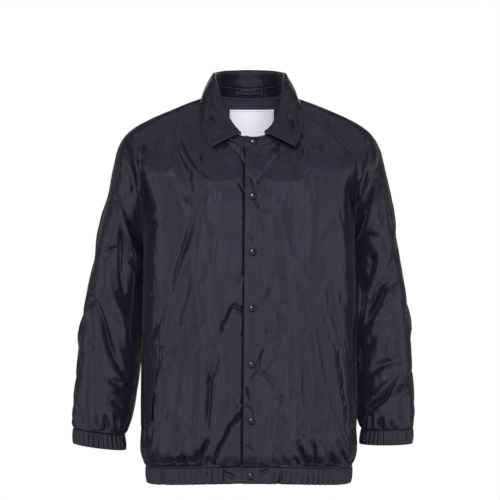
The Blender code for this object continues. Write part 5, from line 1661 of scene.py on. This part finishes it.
class Nodes:
    # a short way to add nodes to a tree: sockets by name or number, values set or linked
    def __init__(self, tree):
        self.tree = tree

    def add(self, kind, links=None, **settings):
        node = self.tree.nodes.new(kind)
        for key, value in settings.items():
            setattr(node, key, value)
        for socket, value in (links or {}).items():
            if isinstance(value, bpy.types.NodeSocket):
                self.tree.links.new(value, node.inputs[socket])
            else:
                node.inputs[socket].default_value = value
        return node

    def math(self, operation, a, b=0.0, c=0.0):
        return self.add("ShaderNodeMath", {0: a, 1: b, 2: c}, operation=operation).outputs[0]

    def noise(self, place, scale, detail, **more):
        links = {"Vector": place, "Scale": scale, "Detail": detail, **more}
        return self.add("ShaderNodeTexNoise", links).outputs["Fac"]

    def bands(self, place, pitch, axis):
        # the wave texture repeats every pi / 10 / scale
        links = {"Vector": place, "Scale": math.pi / 10 / pitch}
        return self.add("ShaderNodeTexWave", links, bands_direction=axis).outputs["Fac"]

    def bump(self, height, distance, strength, under=None):
        links = {"Height": height, "Distance": distance, "Strength": strength}
        if under:
            links["Normal"] = under
        return self.add("ShaderNodeBump", links).outputs["Normal"]


nylonLook = {
    "base": (0.0070, 0.0060, 0.0105, 1.0),
    "specular": (0.92, 0.89, 1.0, 1.0),
    # the collar's copy of the same nylon reflects less: painted shade
    "collarSpecularPaintedShade": (0.76, 0.74, 0.83, 1.0),
    "roughness": 0.27,
    # the inside's colour is lighter than the outside's: painted light for the inside of the body, which lies
    # in shade
    "insideBasePaintedLight": (0.036, 0.034, 0.048, 1.0),
    "insideRoughness": 0.42,
    "roughnessSpread": 0.10,
    "weavePitch": 0.0006,
    "sheen": 0.05,
    "unevenScale": 34.0,
    "crumpleScale": 26.0,
    "crumpleHeight": 0.0007,
    "crumpleStrength": 0.6,
    "weaveHeight": 0.00003,
    "weaveStrength": 0.35,
    "ior": 1.5,
    "sheenRoughness": 0.4,
    "creaseTilt": (0.3, 0.2),
    "creaseBend": 0.35,
    "creasePower": 22.0,  # how narrow the creases are
    "patchFrom": 0.47,  # creases lie in patches, where a slower noise is above this
    "patchTo": 0.72,
    # turn from upright, waves a metre along and across, depth in metres
    "creases": [(0.30, 7.0, 24.0, 0.0011), (-0.50, 9.0, 27.0, 0.0010), (1.15, 14.0, 40.0, 0.0005)],
}


def nylonMaterial(name, base="base", roughness="roughness", specular="specular"):
    # black nylon taffeta: a plain weave from two sets of bands, soft crumples and fine ridged creases
    look = nylonLook
    base, roughness, specular = look[base], look[roughness], look[specular]
    material = bpy.data.materials.new(name)
    material.use_nodes = True
    nodes = Nodes(material.node_tree)
    shader = material.node_tree.nodes["Principled BSDF"]
    place = nodes.add("ShaderNodeTexCoord").outputs["Object"]
    cloth = nodes.add("ShaderNodeUVMap", uv_map="cloth").outputs[0]
    weave = nodes.math("MULTIPLY", *(nodes.bands(cloth, look["weavePitch"], axis) for axis in "XY"))
    crumple = nodes.noise(place, look["crumpleScale"], 2.0)
    bump = nodes.bump(crumple, look["crumpleHeight"], look["crumpleStrength"])
    for turn, long, fine, height in look["creases"]:
        tilt = look["creaseTilt"]
        laid = {"Vector": place, "Rotation": (tilt[0], turn, tilt[1]), "Scale": (fine, fine, long)}
        laid = nodes.add("ShaderNodeMapping", laid).outputs[0]
        streak = nodes.noise(laid, 1.0, 1.5, Distortion=look["creaseBend"])
        away = nodes.math("ABSOLUTE", nodes.math("SUBTRACT", streak, 0.5))
        crease = nodes.math("POWER", nodes.math("SUBTRACT", 1.0, away), look["creasePower"])
        patch = nodes.noise(place, fine / 3, 1.0)
        steps = {0: patch, 1: look["patchFrom"], 2: look["patchTo"]}
        patch = nodes.add("ShaderNodeMapRange", steps).outputs[0]
        cut = nodes.math("MULTIPLY", nodes.math("MULTIPLY", crease, patch), -1.0)
        bump = nodes.bump(cut, height, 1.0, bump)
    bump = nodes.bump(weave, look["weaveHeight"], look["weaveStrength"], bump)
    nodes.tree.links.new(bump, shader.inputs["Normal"])
    spread = look["roughnessSpread"]
    uneven = nodes.noise(place, look["unevenScale"], 3.0)
    rough = nodes.math("MULTIPLY_ADD", uneven, spread, roughness - spread / 2)
    nodes.tree.links.new(rough, shader.inputs["Roughness"])
    shader.inputs["Base Color"].default_value = base
    shader.inputs["IOR"].default_value = look["ior"]
    shader.inputs["Specular Tint"].default_value = specular
    shader.inputs["Sheen Weight"].default_value = look["sheen"]
    shader.inputs["Sheen Roughness"].default_value = look["sheenRoughness"]
    return material


def plainMaterial(name, colour, roughness, metallic=0.0):
    # one colour and one roughness all over
    material = bpy.data.materials.new(name)
    material.use_nodes = True
    shader = material.node_tree.nodes["Principled BSDF"]
    shader.inputs["Base Color"].default_value = (*colour, 1.0)
    shader.inputs["Roughness"].default_value = roughness
    shader.inputs["Metallic"].default_value = metallic
    return material


def labelMaterial(name):
    # woven white: a fine weave and slight unevenness
    material = plainMaterial(name, (0.95, 0.96, 1.0), 0.62)
    nodes = Nodes(material.node_tree)
    shader = material.node_tree.nodes["Principled BSDF"]
    cloth = nodes.add("ShaderNodeUVMap", uv_map="cloth").outputs[0]
    weave = nodes.bands(cloth, label["weavePitch"], "Y")
    nodes.tree.links.new(nodes.bump(weave, 0.00004, 0.5), shader.inputs["Normal"])
    return material


nylon = nylonMaterial("black_nylon_cloth")
# a copy of the nylon that reflects less, for the collar and the hanger loop: painted shade on the same cloth
# as the body
collarNylonPaintedShade = nylonMaterial("collar_nylon_painted_shade", specular="collarSpecularPaintedShade")
# a lighter copy of the nylon for the inside of the body: painted light where that inside lies in shade
nylonInsidePaintedLight = nylonMaterial("black_nylon_inside_painted_light", "insideBasePaintedLight", "insideRoughness")
snapBlack = plainMaterial("snap_satin_black", (0.040, 0.040, 0.044), 0.30, 1.0)
# a dark edge tint: painted shade on the snaps' rims; the dark dome itself is the snaps' own colour
snapBlack.node_tree.nodes["Principled BSDF"].inputs["Specular Tint"].default_value = (0.25, 0.25, 0.25, 1.0)
threadBlack = plainMaterial("thread_black", (0.016, 0.014, 0.020), 0.55)
threadGrey = plainMaterial("thread_grey", (0.10, 0.10, 0.13), 0.6)
labelWhite = labelMaterial("label_woven_white")

# The pieces
fronts = {side: frontPanel(side) for side in (left, right)}
print("coach jacket: fronts")
back = backPanel()
print("coach jacket: back")
sleeves = {side: sleeve(side) for side in (left, right)}
print("coach jacket: sleeves")
band, (stand, standTurns) = hemBand(), neckband()
leaf = collarLeaf(stand, standTurns)
for side in (left, right):
    partAtRaglans(side, fronts[side], back, sleeves[side])
tops = [(panel[-1], panel[-2]) for panel in (fronts[left], fronts[right], back)]
tops += [(sleeves[side][0], sleeves[side][1]) for side in (left, right)]
partAtNeck(tops, stand, standTurns)
cuffs = {side: cuff(side) for side in (left, right)}
print("coach jacket: bands and collar")

sides = {left: "left", right: "right"}


def keptWith(obj, node=None):
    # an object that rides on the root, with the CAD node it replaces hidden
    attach(obj, "root")
    if node:
        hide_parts(node)
    return obj


def clothPiece(node, grid, held, restsOn, cloth=garment["cloth"], material=nylon, slotName="nylon", **more):
    # a wall of cloth that replaces its CAD node
    end = "strip" if node == "hanger_loop" else "cloth"
    obj = keptWith(gridPiece(f"{node}_{end}", grid, cloth, material, **more), node)
    across, up = acrossAndUp(grid)


bodyOut = {}
for side in (left, right):
    name = sides[side]
    clothPiece(name + "_front", fronts[side], "hung", "neckband_cloth", outwards=side, inside=nylonInsidePaintedLight)
    bodyOut[side] = normalsOf(fronts[side]) * side
clothPiece("back", back, "hung", "neckband_cloth", inside=nylonInsidePaintedLight)
for side in (left, right):
    name = sides[side]
    closedFrom = mesh["rowsAbove"]
    clothPiece(name + "_sleeve", sleeves[side], "hung", "back_cloth", closedFrom=closedFrom, outwards=-side)
    clothPiece(name + "_cuff", cuffs[side], "gathered", name + "_sleeve_cloth", closedFrom=0, outwards=-side)
clothPiece("hem_band", band, "gathered", "back_cloth")
clothPiece("neckband", stand, "folded", "back_cloth", outwards=-1)
clothPiece("collar", leaf, "folded", "neckband_cloth", collar["cloth"], collarNylonPaintedShade)
for side in (left, right):
    name = sides[side]
    grid = pocketWelt(fronts[side], side)
    clothPiece(name + "_pocket_welt", grid, "folded", name + "_front_cloth", welt["cloth"], outwards=side)
labelGrid, labelOut = neckLabel(back)
clothPiece("label", labelGrid, "laid", "back_cloth", label["cloth"], labelWhite, "label")
loopGrid = hangerLoop()
clothPiece("hanger_loop", loopGrid, "folded", "neckband_cloth", loop["cloth"], collarNylonPaintedShade)
print("coach jacket: welts, label and loop")

verts, faceList = revolved(snapProfile(), snap["steps"])
for k in range(closing["snapCount"]):
    z = np.array([closing["snapTop"] - k * closing["snapPitch"]])
    ends = {0: stand[:, -60:], closing["snapCount"] - 1: band[:, -band.shape[1] // 8 :]}
    on = ends.get(k, fronts[left])
    spot, out = laidOn(on, "front", closingX(z), z, garment["cloth"] / 2 + snap["seat"], snap["reach"])
    across = unit(np.cross([0.0, 0.0, 1.0], out[0]))
    turned = spot[0] + verts @ np.stack([across, np.cross(out[0], across), out[0]])
    made = bpy.data.meshes.new(f"snap_{k + 1}_cap")
    made.from_pydata(turned.tolist(), [], faceList)
    obj = finished(f"snap_{k + 1}_cap", made)
    obj.data.materials.append(snapBlack)
    triangles[obj.name] = 2 * len(faceList)
    keptWith(obj, f"snap_{k + 1}")


def group(name, runs, material):
    # runs of stitches as one object, which replaces no node
    obj = threadsMesh(name, runs)
    obj.data.materials.append(material)
    triangles[name] = 24 * sum(len(run) for run in runs)
    return keptWith(obj)


def rowLine(grid, out, index, skip=0):
    # a line of points along one row, with the normals there
    chosen = slice(skip, -skip or None)
    return grid[index, chosen], out[index, chosen]


def seamStitches(grid, out, end):
    # two rows of stitches beside a panel's raglan seam
    above = slice(mesh["rowsBelow"] + 2, None)
    return [stitchRun(*lineFrom(grid[above], out[above], away, end)) for away in thread["besideSeam"]]


runs = []
for side in (left, right):
    out = bodyOut[side]
    runs += seamStitches(fronts[side], out, 1)
    if side == left:
        for away in (thread["fromEdge"], closing["stitchFromEdge"]):
            runs.append(stitchRun(*lineFrom(fronts[side][2:-2], out[2:-2], away)))
    runs.append(stitchRun(*rowLine(fronts[side], out, 3)))
group("front_stitches", runs, threadBlack)
backOut = normalsOf(back)
runs = seamStitches(back, backOut, 0) + seamStitches(back, backOut, 1)
runs.append(stitchRun(*rowLine(back, backOut, 3)))
group("back_stitches", runs, threadBlack)
runs = []
for side in (left, right):
    for grid, row in ((sleeves[side], -4), (cuffs[side], 1)):
        runs.append(stitchRun(*rowLine(grid, -normalsOf(grid) * side, row)))
group("sleeve_stitches", runs, threadBlack)
rows = ((leaf, 1, -4, 5), (band, 1, 1, 4), (stand, -1, 1, 3))
runs = [stitchRun(*rowLine(grid, sign * normalsOf(grid), row, skip)) for grid, sign, row, skip in rows]
for end in (-1, 1):
    place = loopGrid[:, 3 if end < 0 else -4]
    spread = np.array([tack["halfSpan"], 0.0, 0.0])
    for height in np.linspace(-tack["halfHeight"], tack["halfHeight"], tack["count"]):
        at = place[4] + np.array([0.0, -tack["ahead"], height])
        line = np.array([at - spread, at + spread])
        runs.append(stitchRun(line, np.array([[0.0, -1.0, 0.0]] * 2), tack))
group("band_stitches", runs, threadBlack)
inset = 2
runs = [stitchRun(labelGrid[inset, inset:-inset], labelOut[inset, inset:-inset], lift=0.0006)]
for column in (inset, -1 - inset):
    runs.append(stitchRun(labelGrid[inset:-inset, column], labelOut[inset:-inset, column], lift=0.0006))
group("label_stitches", runs, threadGrey)
print("coach jacket: stitches")


# The studio: a white light tent, area lights for the matt parts and for chosen pieces, and a white floor


def softBox(name, place, aim, width, height, power):
    # an area light that points at a place, in metres and watts
    made = bpy.data.lights.new(name, "AREA")
    made.shape, made.size, made.size_y, made.energy = "RECTANGLE", width, height, power
    obj = bpy.data.objects.new(name, made)
    bpy.context.scene.collection.objects.link(obj)
    obj.location = place
    obj.visible_camera = False
    back = np.array(place, float) - np.array(aim, float)
    obj.rotation_mode = "QUATERNION"
    obj.rotation_quaternion = mathutils.Vector(back.tolist()).to_track_quat("Z", "Y")
    return obj


def lightsOnly(light, names):
    # a light for these pieces alone
    chosen = bpy.data.collections.new(light.name + "_pieces")
    for name in names:
        chosen.objects.link(bpy.data.objects[name])
    light.light_linking.receiver_collection = chosen


lights = {
    # place, where it points, width, height and power
    "front_fill": ((0.2, -3.2, 0.9), (0, 0, -0.3), 2.6, 2.0, 150),
    "glint_box": ((-1.3, -2.6, 1.2), (0, 0, -0.3), 0.6, 0.6, 1.6),
    "snap_glint": ((-1.2, -2.4, 1.7), (0, 0, -0.3), 1.4, 1.4, 150),
    "back_box": ((0, 3.0, 0.3), (0, 0, -0.4), 3.4, 2.4, 17),
}
placed = {name: softBox(name, *numbers) for name, numbers in lights.items()}
placed["front_fill"].visible_glossy = False  # lifts only what is matt
placed["front_fill"].data.color = (1.0, 0.99, 1.0)
lightsOnly(placed["snap_glint"], [f"snap_{k + 1}_cap" for k in range(closing["snapCount"])])
lightsOnly(placed["back_box"], ["back_cloth", "collar_cloth", "hem_band_cloth"])

world = bpy.data.worlds.new("light_tent")
bpy.context.scene.world = world
world.use_nodes = True
tree = world.node_tree
for node in list(tree.nodes):
    tree.nodes.remove(node)
nodes = Nodes(tree)
direction = nodes.add("ShaderNodeTexCoord").outputs["Generated"]
parts = nodes.add("ShaderNodeSeparateXYZ", {0: direction}).outputs
aside = nodes.math("ABSOLUTE", parts[0])
# The tent's brightness is a product of factors: each goes from first to last, with level ends, as its share
# of the direction goes from start to end.
factors = [
    # share, start, end, first, last
    (parts[1], 0.50, -0.15, 0.10, 1.0),  # dark behind
    (aside, 0.04, 0.36, 0.66, 1.08),  # brighter to the sides of the camera
    (aside, 0.44, 0.66, 1.0, 0.50),  # gaps between the front boxes and the side boxes
    (aside, 0.70, 0.92, 1.0, 1.65),  # side boxes
    (parts[2], 0.20, 0.75, 1.0, 0.45),  # darker above
    (parts[2], 0.84, 1.0, 1.0, 1.5),  # the roof
    (parts[2], -0.58, -0.98, 1.0, 0.10),  # dark below
]
strength = 1.0
for share, start, end, first, last in factors:
    ramp = nodes.add("ShaderNodeMapRange", {0: share, 1: start, 2: end, 3: first, 4: last})
    ramp.interpolation_type = "SMOOTHSTEP"
    strength = nodes.math("MULTIPLY", strength, ramp.outputs[0])
tent = nodes.add("ShaderNodeBackground", {"Color": (1, 1, 1, 1), "Strength": strength})
white = nodes.add("ShaderNodeBackground", {"Color": (1, 1, 1, 1), "Strength": 1.0})
seen = nodes.add("ShaderNodeLightPath").outputs["Is Camera Ray"]
mixed = nodes.add("ShaderNodeMixShader", {0: seen, 1: tent.outputs[0], 2: white.outputs[0]})
nodes.add("ShaderNodeOutputWorld", {0: mixed.outputs[0]})

floorMaterial = plainMaterial("floor_white", (0.9, 0.9, 0.9), 0.8)
floorNodes = Nodes(floorMaterial.node_tree)
glow = floorNodes.add("ShaderNodeEmission", {"Color": (1, 1, 1, 1), "Strength": 1.0})
floorOut = floorMaterial.node_tree.nodes["Material Output"]
floorMaterial.node_tree.links.new(glow.outputs[0], floorOut.inputs["Surface"])
floorMesh = bpy.data.meshes.new("floor")
reach, level = 30.0, -0.95
corners = [(reach * a, reach * b, level) for a, b in ((-1, -1), (1, -1), (1, 1), (-1, 1))]
floorMesh.from_pydata(corners, [], [(0, 1, 2, 3)])
floorMesh.materials.append(floorMaterial)
floor = bpy.data.objects.new("floor", floorMesh)
bpy.context.scene.collection.objects.link(floor)
floor.visible_diffuse = floor.visible_glossy = floor.visible_shadow = False

lens = bpy.data.cameras.new("camera")
camera = bpy.data.objects.new("camera", lens)
bpy.context.scene.collection.objects.link(camera)
camera.location = (cameraPlace["x"], -cameraPlace["distance"], cameraPlace["z"])
camera.rotation_euler = (math.pi / 2, 0, 0)
lens.lens_unit = "FOV"
lens.angle = 2 * math.atan(cameraPlace["reach"] / 2 / cameraPlace["distance"])
bpy.context.scene.camera = camera
bpy.context.scene.view_settings.view_transform = "Standard"

print("coach jacket: triangles", sum(triangles.values()), "most", max(triangles.values()))
